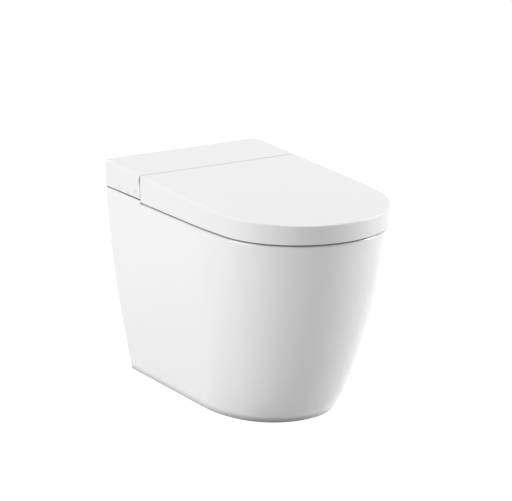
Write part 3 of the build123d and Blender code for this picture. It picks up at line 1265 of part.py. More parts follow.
# Deodoriser: housing behind the intake, axial fan with its motor, carbon filter
DEO_X = INTAKE_X
DEO_WIDTH = 50.0
DEO_HEIGHT = 46.0
DEO_FRONT = 149.0
DEO_BACK = 200.0
DEO_WALL = 2.0
DEO_TOP = RIM_TOP - SEAT_FIT
DEO_FAN_RADIUS = 20.0
DEO_FAN_Y = 160.0
DEO_FAN_DEPTH = 9.0
DEO_HUB = 7.0
DEO_BLADES = 7
DEO_BLADE_TURN = 40.0
DEO_BLADE = 1.4
DEO_SHAFT = 1.2
DEO_MOTOR_LENGTH = 10.0
DEO_SPOKE = 3.0
FILTER_DEPTH = 14.0
deo_z = DEO_TOP - DEO_HEIGHT / 2
deo_motor_y = DEO_FAN_Y + DEO_FAN_DEPTH + DEO_WALL
with BuildPart() as deodoriser_housing:
    with BuildSketch(Plane.XZ.offset(-DEO_FRONT)):
        with Locations((DEO_X, deo_z)):
            Rectangle(DEO_WIDTH, DEO_HEIGHT)
    extrude(amount=DEO_FRONT - DEO_BACK)
    with BuildSketch(Plane.XZ.offset(-DEO_FRONT)):
        with Locations((DEO_X, deo_z)):
            Circle(DEO_FAN_RADIUS + DEO_WALL / 2)
    extrude(amount=DEO_FRONT - deo_motor_y, mode=Mode.SUBTRACT)
    with BuildSketch(Plane.XZ.offset(-deo_motor_y)):
        with Locations((DEO_X, deo_z)):
            Rectangle(DEO_WIDTH - 2 * DEO_WALL, DEO_HEIGHT - 2 * DEO_WALL)
    extrude(amount=deo_motor_y - DEO_BACK, mode=Mode.SUBTRACT)
    with BuildSketch(Plane.XZ.offset(-deo_motor_y)):
        with Locations((DEO_X, deo_z)):
            Rectangle(DEO_WIDTH - DEO_WALL, DEO_SPOKE)
            Rectangle(DEO_SPOKE, DEO_HEIGHT - DEO_WALL)
            Circle(DEO_HUB + DEO_WALL)
            Circle(DEO_HUB + RUN_FIT, mode=Mode.SUBTRACT)
    extrude(amount=-DEO_MOTOR_LENGTH)
save(deodoriser_housing, "deodoriser_housing")

with BuildPart() as deodoriser_motor:
    with BuildSketch(Plane.XZ.offset(-deo_motor_y)):
        with Locations((DEO_X, deo_z)):
            Circle(DEO_HUB)
            Circle(DEO_SHAFT + RUN_FIT, mode=Mode.SUBTRACT)
    extrude(amount=-DEO_MOTOR_LENGTH)
save(deodoriser_motor, "deodoriser_motor")

with BuildPart() as deodoriser_fan:
    with BuildSketch(Plane.XZ.offset(-DEO_FAN_Y)):
        with Locations((DEO_X, deo_z)):
            Circle(DEO_HUB)
    extrude(amount=-DEO_FAN_DEPTH)
    for blade in range(DEO_BLADES):
        spin = Location((DEO_X, DEO_FAN_Y + DEO_FAN_DEPTH / 2, deo_z), (0, 360 * blade / DEO_BLADES, 0))
        with BuildSketch(Plane(spin * Location((0, 0, DEO_HUB / 2), DEO_BLADE_TURN))):
            Rectangle(DEO_FAN_DEPTH, DEO_BLADE)
        extrude(amount=DEO_FAN_RADIUS - DEO_HUB / 2)
    with BuildSketch(Plane.XZ.offset(-DEO_FAN_Y)):
        with Locations((DEO_X, deo_z)):
            Circle(DEO_SHAFT)
    extrude(amount=-DEO_FAN_DEPTH - DEO_WALL - DEO_MOTOR_LENGTH / 2)
save(deodoriser_fan, "deodoriser_fan")

with BuildPart() as carbon_filter:
    with BuildSketch(Plane.XZ.offset(-DEO_BACK + FILTER_DEPTH)):
        with Locations((DEO_X, deo_z)):
            Rectangle(DEO_WIDTH - 2 * DEO_WALL - 2 * SLIDE_FIT, DEO_HEIGHT - 2 * DEO_WALL - 2 * SLIDE_FIT)
    extrude(amount=-FILTER_DEPTH)
save(carbon_filter, "carbon_filter")

# Water heater: instant heater tank with its two pipe stubs
TANK_GAP = 6.0
TANK_INNER = 74.0
TANK_FRONT = 208.0
TANK_BACK = 300.0
TANK_HEIGHT = 59.5
TANK_ROUND = 8.0
STUB_RADIUS = 5.0
STUB_LENGTH = 12.0
STUB_SPREAD = 56.0
TANK_WIDTH = WELL_HALF_WIDTH - TANK_GAP - TANK_INNER
TANK_X = -TANK_INNER - TANK_WIDTH / 2
TANK_BOTTOM = DECK_TOP - TANK_HEIGHT
with BuildPart() as water_heater:
    with BuildSketch(Plane.XY.offset(TANK_BOTTOM)) as tank:
        with Locations((TANK_X, TANK_FRONT)):
            Rectangle(TANK_WIDTH, TANK_BACK - TANK_FRONT, align=(Align.CENTER, Align.MIN))
        fillet(tank.vertices(), TANK_ROUND)
    extrude(amount=TANK_HEIGHT)
    fillet(water_heater.edges().group_by(Axis.Z)[0], TANK_ROUND / 2)
    with BuildSketch(Plane.XY.offset(TANK_BOTTOM)):
        with Locations((TANK_X, (TANK_FRONT + TANK_BACK) / 2)):
            with GridLocations(0, STUB_SPREAD, 1, 2):
                Circle(STUB_RADIUS)
    extrude(amount=-STUB_LENGTH)
    with BuildSketch(Plane.XY.offset(TANK_BOTTOM - STUB_LENGTH)):
        with Locations((TANK_X, (TANK_FRONT + TANK_BACK) / 2)):
            with GridLocations(0, STUB_SPREAD, 1, 2):
                Circle(STUB_RADIUS / 2)
    extrude(amount=STUB_LENGTH, mode=Mode.SUBTRACT)
save(water_heater, "water_heater")

# Wash pump: small diaphragm pump with a stepped body and two stubs
PUMP_X = -50.0
PUMP_Y = 250.0
PUMP_HEIGHT = 67.5
PUMP_RADIUS = 12.0
PUMP_HEAD = 15.0
PUMP_HEAD_HEIGHT = 18.0
PUMP_BOTTOM = DECK_TOP - PUMP_HEIGHT
with BuildPart() as wash_pump:
    with BuildSketch(Plane.XY.offset(PUMP_BOTTOM + PUMP_HEAD_HEIGHT)):
        with Locations((PUMP_X, PUMP_Y)):
            Circle(PUMP_RADIUS)
    extrude(amount=PUMP_HEIGHT - PUMP_HEAD_HEIGHT)
    with BuildSketch(Plane.XY.offset(PUMP_BOTTOM)) as head:
        with Locations((PUMP_X, PUMP_Y)):
            Rectangle(2 * PUMP_HEAD, 2 * PUMP_HEAD)
        fillet(head.vertices(), STUB_RADIUS)
    extrude(amount=PUMP_HEAD_HEIGHT)
    with BuildSketch(Plane.XZ.offset(PUMP_HEAD - PUMP_Y)):
        with Locations((PUMP_X, PUMP_BOTTOM + PUMP_HEAD_HEIGHT / 2)):
            with GridLocations(PUMP_HEAD, 0, 2, 1):
                Circle(STUB_RADIUS)
    extrude(amount=STUB_LENGTH)
    with BuildSketch(Plane.XZ.offset(PUMP_HEAD + STUB_LENGTH - PUMP_Y)):
        with Locations((PUMP_X, PUMP_BOTTOM + PUMP_HEAD_HEIGHT / 2)):
            with GridLocations(PUMP_HEAD, 0, 2, 1):
                Circle(STUB_RADIUS / 2)
    extrude(amount=-STUB_LENGTH, mode=Mode.SUBTRACT)
save(wash_pump, "wash_pump")

# Flush valve: body below the chassis with its actuator, an inlet boss behind and an outlet in front
VALVE_Y = 258.0
VALVE_RADIUS = 22.0
VALVE_HEIGHT = 78.0
ACTUATOR_HEIGHT = 39.5
ACTUATOR_RADIUS = 12.0
INLET_RISE = 16.0
INLET_BOSS = 13.0
INLET_BARREL = 9.0
INLET_BOSS_END = 298.0
INLET_BARREL_LENGTH = 14.0
HOSE_BORE = 6.5
HOSE_RADIUS = 9.0
BARB_LENGTH = 14.0
VALVE_DRILL = 4.5
VALVE_TOP = DECK_TOP - ACTUATOR_HEIGHT
VALVE_BOTTOM = VALVE_TOP - VALVE_HEIGHT
INLET_Z = VALVE_BOTTOM + INLET_RISE
with BuildPart() as flush_valve:
    with BuildSketch(Plane.XY.offset(VALVE_BOTTOM)):
        with Locations((0, VALVE_Y)):
            Circle(VALVE_RADIUS)
    extrude(amount=VALVE_HEIGHT)
    chamfer(flush_valve.edges().group_by(Axis.Z)[0], STUB_RADIUS / 2)
    with BuildSketch(Plane.XY.offset(VALVE_TOP)):
        with Locations((0, VALVE_Y)):
            Circle(ACTUATOR_RADIUS)
    extrude(amount=ACTUATOR_HEIGHT)
    with BuildSketch(Plane.XZ.offset(-VALVE_Y)):
        with Locations((0, INLET_Z)):
            Circle(INLET_BOSS)
    extrude(amount=VALVE_Y - INLET_BOSS_END)
    with BuildSketch(Plane.XZ.offset(-VALVE_Y)):
        with Locations((0, RIM_PORT_HEIGHT)):
            Circle(HOSE_BORE - RUN_FIT)
    extrude(amount=VALVE_RADIUS + BARB_LENGTH)
    with BuildSketch(Plane.XZ.offset(VALVE_RADIUS + BARB_LENGTH - VALVE_Y)):
        with Locations((0, RIM_PORT_HEIGHT)):
            Circle(VALVE_DRILL)
    extrude(amount=-VALVE_RADIUS - BARB_LENGTH, mode=Mode.SUBTRACT)
    with BuildSketch(Plane.XZ.offset(-INLET_BOSS_END)):
        with Locations((0, INLET_Z)):
            Circle(INLET_BARREL + RUN_FIT)
    extrude(amount=INLET_BARREL_LENGTH, mode=Mode.SUBTRACT)
save(flush_valve, "flush_valve")

# Water inlet: brass fitting with a half-inch thread facing the wall, and its strainer
INLET_HEX = 15.0
INLET_HEX_LENGTH = 8.0
THREAD_RADIUS = 10.48
THREAD_LENGTH = 16.0
THREAD_DEPTH = 0.9
INLET_BORE = 6.5
with BuildPart() as inlet_fitting:
    with BuildSketch(Plane.XZ.offset(-INLET_BOSS_END)):
        with Locations((0, INLET_Z)):
            Circle(INLET_BARREL)
    extrude(amount=INLET_BARREL_LENGTH - RUN_FIT)
    with BuildSketch(Plane.XZ.offset(-INLET_BOSS_END)):
        with Locations((0, INLET_Z)):
            RegularPolygon(INLET_HEX, 6)
    extrude(amount=-INLET_HEX_LENGTH)
    with BuildSketch(Plane.XZ.offset(-INLET_BOSS_END - INLET_HEX_LENGTH)):
        with Locations((0, INLET_Z)):
            Circle(THREAD_RADIUS)
    extrude(amount=-THREAD_LENGTH)
    chamfer(inlet_fitting.edges().group_by(Axis.Y)[-1], THREAD_DEPTH)
    with BuildSketch(Plane.XZ.offset(-INLET_BOSS_END - INLET_HEX_LENGTH - THREAD_LENGTH)):
        with Locations((0, INLET_Z)):
            Circle(INLET_BORE)
    extrude(amount=INLET_BARREL_LENGTH + INLET_HEX_LENGTH + THREAD_LENGTH, mode=Mode.SUBTRACT)
save(inlet_fitting, "inlet_fitting")

STRAINER_LENGTH = 18.0
STRAINER_WALL = 0.8
STRAINER_START = 304.0
with BuildPart() as inlet_strainer:
    with BuildSketch(Plane.XZ.offset(-STRAINER_START)):
        with Locations((0, INLET_Z)):
            Circle(INLET_BORE - SLIDE_FIT)
    extrude(amount=-STRAINER_LENGTH)
    with BuildSketch(Plane.XZ.offset(-STRAINER_START - STRAINER_WALL)):
        with Locations((0, INLET_Z)):
            Circle(INLET_BORE - SLIDE_FIT - STRAINER_WALL)
    extrude(amount=-STRAINER_LENGTH, mode=Mode.SUBTRACT)
save(inlet_strainer, "inlet_strainer")

# Rim nozzle: flushes through the bowl's rear wall; its tail takes the flush pipe
RIM_BARREL = RIM_PORT_RADIUS - SEAT_FIT
RIM_BARREL_FRONT = 45.0
RIM_FLANGE = 13.0
RIM_FLANGE_Y = 66.0
RIM_FLANGE_LENGTH = 3.0
RIM_TAIL_LENGTH = 20.0
with BuildPart() as rim_nozzle:
    with BuildSketch(Plane.XZ.offset(-RIM_BARREL_FRONT)):
        with Locations((0, RIM_PORT_HEIGHT)):
            Circle(RIM_BARREL)
    extrude(amount=RIM_BARREL_FRONT - RIM_FLANGE_Y)
    with BuildSketch(Plane.XZ.offset(-RIM_FLANGE_Y)):
        with Locations((0, RIM_PORT_HEIGHT)):
            Circle(RIM_FLANGE)
    extrude(amount=-RIM_FLANGE_LENGTH)
    with BuildSketch(Plane.XZ.offset(-RIM_FLANGE_Y)):
        with Locations((0, RIM_PORT_HEIGHT)):
            Circle(HOSE_BORE - RUN_FIT)
    extrude(amount=-RIM_FLANGE_LENGTH - RIM_TAIL_LENGTH)
    with BuildSketch(Plane.XZ.offset(-RIM_BARREL_FRONT)):
        with Locations((0, RIM_PORT_HEIGHT)):
            Circle(VALVE_DRILL)
    extrude(amount=-LENGTH, mode=Mode.SUBTRACT)
save(rim_nozzle, "rim_nozzle")

# Flush pipe: moulded rubber pipe from the valve to the rim nozzle, dipping under the nozzle drive
HOSE_DIP = 20.0
HOSE_BEND = 20.0
HOSE_LEAD = 8.0
HOSE_DIP_YS = (190.0, 126.0)
HOSE_DIP_Z = RIM_PORT_HEIGHT - HOSE_DIP
hose_start = VALVE_Y - VALVE_RADIUS - RUN_FIT
hose_end = RIM_FLANGE_Y + RIM_FLANGE_LENGTH + RUN_FIT
hose_points = (
    (0, hose_start, RIM_PORT_HEIGHT),
    (0, hose_start - BARB_LENGTH - HOSE_LEAD, RIM_PORT_HEIGHT),
    (0, HOSE_DIP_YS[0], HOSE_DIP_Z),
    (0, HOSE_DIP_YS[1], HOSE_DIP_Z),
    (0, hose_end + RIM_TAIL_LENGTH + HOSE_LEAD, RIM_PORT_HEIGHT),
    (0, hose_end, RIM_PORT_HEIGHT),
)
with BuildPart() as flush_pipe:
    with BuildLine() as hose_path:
        FilletPolyline(*hose_points, radius=HOSE_BEND)
    with BuildSketch(Plane(origin=hose_path.line @ 0, z_dir=hose_path.line % 0)):
        Circle(HOSE_RADIUS)
        Circle(HOSE_BORE, mode=Mode.SUBTRACT)
    sweep(path=hose_path.line)
save(flush_pipe, "flush_pipe")

# Vacuum breaker: keeps the water system from siphoning, standing over a hole in the chassis
BREAKER_RADIUS = 10.0
BREAKER_HEIGHT = 29.5
BREAKER_CAP = 11.5
BREAKER_CAP_HEIGHT = 5.0
BREAKER_TAIL = WIRE_HOLE - SEAT_FIT
BREAKER_TOP = COVER_BOTTOM + BREAKER_HEIGHT
with BuildPart() as vacuum_breaker:
    with BuildSketch(Plane.XY.offset(COVER_BOTTOM)):
        with Locations(WIRE_HOLES[0]):
            Circle(BREAKER_RADIUS)
    extrude(amount=BREAKER_HEIGHT)
    with BuildSketch(Plane.XY.offset(BREAKER_TOP - BREAKER_CAP_HEIGHT)):
        with Locations(WIRE_HOLES[0]):
            Circle(BREAKER_CAP)
    extrude(amount=BREAKER_CAP_HEIGHT)
    with BuildSketch(Plane.XY.offset(COVER_BOTTOM)):
        with Locations(WIRE_HOLES[0]):
            Circle(BREAKER_TAIL)
    extrude(amount=-CHASSIS_PLATE - STUB_LENGTH)
    with BuildSketch(Plane.XY.offset(DECK_TOP - STUB_LENGTH)):
        with Locations(WIRE_HOLES[0]):
            Circle(BREAKER_TAIL / 2)
    extrude(amount=BREAKER_TOP - DECK_TOP, mode=Mode.SUBTRACT)
save(vacuum_breaker, "vacuum_breaker")

# Control unit: open tray with its circuit board, chips, relays and connectors
CASE_SETBACK = 42.0
CASE_WIDTH = 72.0
CASE_FRONT = 200.0
CASE_BACK = 292.0
CASE_HEIGHT = 22.0
CASE_WALL = 1.8
CASE_ROUND = 2.0
BOARD_LIFT = 5.0
BOARD_THICKNESS = 1.6
BOARD_GAP = 0.5
CHIP_HEIGHT = 2.0
RELAY_HEIGHT = 12.0
CHIPS = ((-16.0, 22.0, 14.0, 14.0), (8.0, 22.0, 20.0, 10.0), (-16.0, 50.0, 10.0, 16.0))
RELAYS = ((16.0, 48.0, 16.0, 12.0), (16.0, 68.0, 16.0, 12.0), (-6.0, 78.0, 12.0, 16.0))
case_x = CASE_SETBACK + CASE_WIDTH / 2 - HALF
with BuildPart() as control_case:
    with BuildSketch(Plane.XY.offset(COVER_BOTTOM)):
        with Locations((case_x, CASE_FRONT)):
            Rectangle(CASE_WIDTH, CASE_BACK - CASE_FRONT, align=(Align.CENTER, Align.MIN))
    extrude(amount=CASE_HEIGHT)
    fillet(control_case.edges().filter_by(Axis.Z), CASE_ROUND)
    with BuildSketch(Plane.XY.offset(COVER_BOTTOM + CASE_WALL)):
        with Locations((case_x, CASE_FRONT + CASE_WALL)):
            Rectangle(
                CASE_WIDTH - 2 * CASE_WALL,
                CASE_BACK - CASE_FRONT - 2 * CASE_WALL,
                align=(Align.CENTER, Align.MIN),
            )
    extrude(amount=CASE_HEIGHT, mode=Mode.SUBTRACT)
save(control_case, "control_case")

board_bottom = COVER_BOTTOM + BOARD_LIFT
with BuildPart() as control_board:
    with BuildSketch(Plane.XY.offset(board_bottom)):
        with Locations((case_x, CASE_FRONT + CASE_WALL + BOARD_GAP)):
            Rectangle(
                CASE_WIDTH - 2 * CASE_WALL - 2 * BOARD_GAP,
                CASE_BACK - CASE_FRONT - 2 * CASE_WALL - 2 * BOARD_GAP,
                align=(Align.CENTER, Align.MIN),
            )
    extrude(amount=BOARD_THICKNESS)
    for blocks, height in ((CHIPS, CHIP_HEIGHT), (RELAYS, RELAY_HEIGHT)):
        with BuildSketch(Plane.XY.offset(board_bottom + BOARD_THICKNESS)):
            for x, y, width, length in blocks:
                with Locations((case_x + x, CASE_FRONT + y)):
                    Rectangle(width, length)
        extrude(amount=height)
save(control_board, "control_board")

# Power supply: closed metal case with cooling slots on top
SUPPLY_SETBACK = 42.0
SUPPLY_WIDTH = 88.0
SUPPLY_FRONT = 200.0
SUPPLY_BACK = 292.0
SUPPLY_HEIGHT = 32.0
SUPPLY_WALL = 1.5
SUPPLY_ROUND = 2.0
SUPPLY_SLOTS = 7
SUPPLY_SLOT_PITCH = 8.0
SUPPLY_SLOT_LENGTH = 60.0
SUPPLY_SLOT_WIDTH = 2.5
supply_x = HALF - SUPPLY_SETBACK - SUPPLY_WIDTH / 2
supply_y = (SUPPLY_FRONT + SUPPLY_BACK) / 2
with BuildPart() as power_supply:
    with BuildSketch(Plane.XY.offset(COVER_BOTTOM)):
        with Locations((supply_x, supply_y)):
            Rectangle(SUPPLY_WIDTH, SUPPLY_BACK - SUPPLY_FRONT)
    extrude(amount=SUPPLY_HEIGHT)
    fillet(power_supply.edges().filter_by(Axis.Z), SUPPLY_ROUND)
    with BuildSketch(Plane.XY.offset(COVER_BOTTOM + SUPPLY_WALL)):
        with Locations((supply_x, supply_y)):
            Rectangle(
                SUPPLY_WIDTH - 2 * SUPPLY_WALL,
                SUPPLY_BACK - SUPPLY_FRONT - 2 * SUPPLY_WALL,
            )
    extrude(amount=SUPPLY_HEIGHT - 2 * SUPPLY_WALL, mode=Mode.SUBTRACT)
    with BuildSketch(Plane.XY.offset(COVER_BOTTOM + SUPPLY_HEIGHT - SUPPLY_WALL)):
        with Locations((supply_x, supply_y)):
            with GridLocations(SUPPLY_SLOT_PITCH, 0, SUPPLY_SLOTS, 1):
                SlotOverall(SUPPLY_SLOT_LENGTH, SUPPLY_SLOT_WIDTH, rotation=90)
    extrude(amount=SUPPLY_WALL, mode=Mode.SUBTRACT)
save(power_supply, "power_supply")

# Push buttons: cap through the cover's side, flange behind it, stem through the frame to a switch
FLANGE_RADIUS = 8.0
FLANGE_THICKNESS = 1.5
STEM_RADIUS = 3.0
FRAME_SETBACK = 8.5
FRAME_THICKNESS = 2.0
FRAME_HEIGHT = 20.0
FRAME_MARGIN = 11.0
SWITCH_SETBACK = 14.0
BOARD_SETBACK = 18.0
SWITCH_SIZE = 7.0
BUTTON_ROUND = 0.5
BUTTON_OUT = SLIDE_FIT - HALF
FRAME_X = FRAME_SETBACK - HALF
SWITCH_FACE = SWITCH_SETBACK - HALF
STEM_END = SWITCH_FACE - BUTTON_TRAVEL - SLIDE_FIT
BOARD_X = BOARD_SETBACK - HALF
flange_x = -HALF + COVER_WALL + SLIDE_FIT
button_names = ("button_front", "button_middle", "button_rear")
for name, y in zip(button_names, BUTTON_YS):
    with BuildPart() as button:
        with BuildSketch(Plane.YZ.offset(BUTTON_OUT)):
            with Locations((y, BUTTON_HEIGHT)):
                Circle(BUTTON_RADIUS)
        extrude(amount=flange_x - BUTTON_OUT)
        chamfer(button.edges().sort_by(Axis.X)[0], BUTTON_ROUND)
        with BuildSketch(Plane.YZ.offset(flange_x)):
            with Locations((y, BUTTON_HEIGHT)):
                Circle(FLANGE_RADIUS)
        extrude(amount=FLANGE_THICKNESS)
        with BuildSketch(Plane.YZ.offset(flange_x)):
            with Locations((y, BUTTON_HEIGHT)):
                Circle(STEM_RADIUS)
        extrude(amount=STEM_END - flange_x)
    save(button, name)

frame_y = (BUTTON_YS[0] + BUTTON_YS[-1]) / 2
frame_length = BUTTON_YS[-1] - BUTTON_YS[0] + 2 * FRAME_MARGIN
with BuildPart() as button_frame:
    with BuildSketch(Plane.YZ.offset(FRAME_X)):
        with Locations((frame_y, COVER_BOTTOM)):
            Rectangle(frame_length, FRAME_HEIGHT, align=(Align.CENTER, Align.MIN))
        with Locations(*[(y, BUTTON_HEIGHT) for y in BUTTON_YS]):
            Circle(STEM_RADIUS + RUN_FIT, mode=Mode.SUBTRACT)
    extrude(amount=FRAME_THICKNESS)
    with BuildSketch(Plane.XY.offset(COVER_BOTTOM)):
        with Locations((FRAME_X, frame_y)):
            Rectangle(BOARD_X - FRAME_X, frame_length, align=(Align.MIN, Align.CENTER))
    extrude(amount=FRAME_THICKNESS)
save(button_frame, "button_frame")

with BuildPart() as button_board:
    with BuildSketch(Plane.YZ.offset(BOARD_X)):
        with Locations((frame_y, COVER_BOTTOM)):
            Rectangle(frame_length, FRAME_HEIGHT, align=(Align.CENTER, Align.MIN))
    extrude(amount=BOARD_THICKNESS)
    with BuildSketch(Plane.YZ.offset(BOARD_X)):
        with Locations(*[(y, BUTTON_HEIGHT) for y in BUTTON_YS]):
            Rectangle(SWITCH_SIZE, SWITCH_SIZE)
    extrude(amount=SWITCH_FACE - BOARD_X)
save(button_board, "button_board")

# Cord gland in the cover's back wall
GLAND_FLANGE = 11.0
GLAND_FLANGE_LENGTH = 4.0
GLAND_BARREL_LENGTH = 14.0
GLAND_BORE = 4.0
GLAND_BARREL_FRONT = BACK_Y - GLAND_BARREL_LENGTH
with BuildPart() as cord_gland:
    with BuildSketch(Plane.XZ.offset(-GLAND_BARREL_FRONT)):
        with Locations((GLAND_X, GLAND_Z)):
            Circle(GLAND_RADIUS)
    extrude(amount=GLAND_BARREL_FRONT - BACK_Y)
    with BuildSketch(Plane.XZ.offset(COVER_WALL - BACK_Y)):
        with Locations((GLAND_X, GLAND_Z)):
            Circle(GLAND_FLANGE)
    extrude(amount=GLAND_FLANGE_LENGTH)
    with BuildSketch(Plane.XZ.offset(-BACK_Y)):
        with Locations((GLAND_X, GLAND_Z)):
            Circle(GLAND_BORE)
    extrude(amount=BACK_Y - GLAND_BARREL_FRONT, mode=Mode.SUBTRACT)
save(cord_gland, "cord_gland")
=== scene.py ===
import json
import math

import bpy
from mathutils import Matrix, Vector

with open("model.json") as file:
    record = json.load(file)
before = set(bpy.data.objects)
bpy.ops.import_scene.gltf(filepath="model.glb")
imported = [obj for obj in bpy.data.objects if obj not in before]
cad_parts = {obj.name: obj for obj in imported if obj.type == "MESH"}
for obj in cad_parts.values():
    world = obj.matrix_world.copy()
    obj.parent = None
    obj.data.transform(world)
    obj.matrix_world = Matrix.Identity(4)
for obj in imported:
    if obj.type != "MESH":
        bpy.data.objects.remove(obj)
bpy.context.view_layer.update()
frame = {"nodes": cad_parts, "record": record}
scene = bpy.context.scene
nodes = frame["nodes"]

# Camera: the photograph's view, in pixels and metres
IMAGE_WIDTH = 512
SENSOR_WIDTH = 36.0
FOCAL_PIXELS = 2500.3
CAMERA_DISTANCE = 5.2795
CAMERA_AZIMUTH = math.radians(-30.621)
CAMERA_ELEVATION = math.radians(14.976)
CAMERA_ROLL = math.radians(-0.673)
CAMERA_TARGET = Vector((0.027609, 0.067952, 0.301541))


def add_camera():
    """Places the camera where the photograph was taken from."""
    reach = math.cos(CAMERA_ELEVATION)
    back = Vector((
        math.sin(CAMERA_AZIMUTH) * reach,
        -math.cos(CAMERA_AZIMUTH) * reach,
        math.sin(CAMERA_ELEVATION),
    ))
    right = back.cross(Vector((0, 0, -1))).normalized()
    up = back.cross(right)
    turned_right = right * math.cos(CAMERA_ROLL) + up * math.sin(CAMERA_ROLL)
    turned_up = up * math.cos(CAMERA_ROLL) - right * math.sin(CAMERA_ROLL)
    place = Matrix((turned_right, turned_up, back)).transposed().to_4x4()
    place.translation = CAMERA_TARGET + back * CAMERA_DISTANCE
    data = bpy.data.cameras.new("camera")
    data.sensor_width = SENSOR_WIDTH
    data.lens = FOCAL_PIXELS * SENSOR_WIDTH / IMAGE_WIDTH
    camera = bpy.data.objects.new("camera", data)
    camera.matrix_world = place
    scene.collection.objects.link(camera)
    scene.camera = camera


add_camera()

# Textures: noise detail and roughness, and the shade painted into crevices and gaps
NOISE_ROUGHNESS = 0.5
DRIFT_DETAIL = 3.0
PATCH_DETAIL = 4.0
PATCH_SHARE = 5
GRAIN_DETAIL = 3.0
PAINTED_SHADE_SAMPLES = 8
PAINTED_SHADE_FROM = 0.3
PAINTED_SHADE_TO = 0.9


def noise(tree, scale, detail):
    """A noise texture in the object's own coordinates."""
    coordinates = tree.nodes.new("ShaderNodeTexCoord")
    texture = tree.nodes.new("ShaderNodeTexNoise")
    texture.inputs["Scale"].default_value = scale
    texture.inputs["Detail"].default_value = detail
    texture.inputs["Roughness"].default_value = NOISE_ROUGHNESS
    tree.links.new(coordinates.outputs["Object"], texture.inputs["Vector"])
    return texture


def ramp(tree, source, low, high, low_at=0.0, high_at=1.0):
    """A ramp between two colours, driven by a texture's factor."""
    node = tree.nodes.new("ShaderNodeValToRGB")
    first, last = node.color_ramp.elements
    first.position = low_at
    last.position = high_at
    first.color = (*low, 1)
    last.color = (*high, 1)
    tree.links.new(source, node.inputs["Fac"])
    return node


def level(value):
    """A grey of one level."""
    return (value, value, value)


def painted_crevice_shade(tree, color, reach, darkest):
    """Paints shade into a colour: multiplies it by a level that falls where other surfaces are within
    reach, as in crevices and gaps between parts.
    """
    occlusion_for_painted_shade = tree.nodes.new("ShaderNodeAmbientOcclusion")
    occlusion_for_painted_shade.samples = PAINTED_SHADE_SAMPLES
    occlusion_for_painted_shade.inputs["Distance"].default_value = reach
    painted_shade_factor = ramp(tree, occlusion_for_painted_shade.outputs["AO"], level(darkest), level(1.0), PAINTED_SHADE_FROM, PAINTED_SHADE_TO)
    node = tree.nodes.new("ShaderNodeMixRGB")
    node.blend_type = "MULTIPLY"
    node.inputs["Fac"].default_value = 1.0
    tree.links.new(color, node.inputs["Color1"])
    tree.links.new(painted_shade_factor.outputs["Color"], node.inputs["Color2"])
    return node.outputs["Color"]


def surface(
    name, color, roughness, spread, grain, bump, depth, shift, cloud,
    reach=0.0, darkest=1.0, **sockets,
):
    """Base colour that drifts a little, roughness that varies, and a fine grain in the bump; where
    reach is set, shade is painted into the base colour in crevices.
    """
    material = bpy.data.materials.new(name)
    material.use_nodes = True
    tree = material.node_tree
    shader = tree.nodes["Principled BSDF"]
    drift = noise(tree, cloud, DRIFT_DETAIL)
    light = tuple(part * (1 + shift) for part in color)
    dark = tuple(part * (1 - shift) for part in color)
    painted = ramp(tree, drift.outputs["Fac"], dark, light).outputs["Color"]
    # painted shade: the base colour darkens in crevices and gaps where other surfaces are within
    # reach
    if reach:
        painted = painted_crevice_shade(tree, painted, reach, darkest)
    tree.links.new(painted, shader.inputs["Base Color"])
    patches = noise(tree, cloud * PATCH_SHARE, PATCH_DETAIL)
    smooth = level(roughness - spread)
    rough = level(roughness + spread)
    levels = ramp(tree, patches.outputs["Fac"], smooth, rough)
    tree.links.new(levels.outputs["Color"], shader.inputs["Roughness"])
    texture = noise(tree, grain, GRAIN_DETAIL)
    node = tree.nodes.new("ShaderNodeBump")
    node.inputs["Strength"].default_value = bump
    node.inputs["Distance"].default_value = depth
    tree.links.new(texture.outputs["Fac"], node.inputs["Height"])
    tree.links.new(node.outputs["Normal"], shader.inputs["Normal"])
    for socket, value in sockets.items():
        shader.inputs[socket.replace("_", " ")].default_value = value
    return material
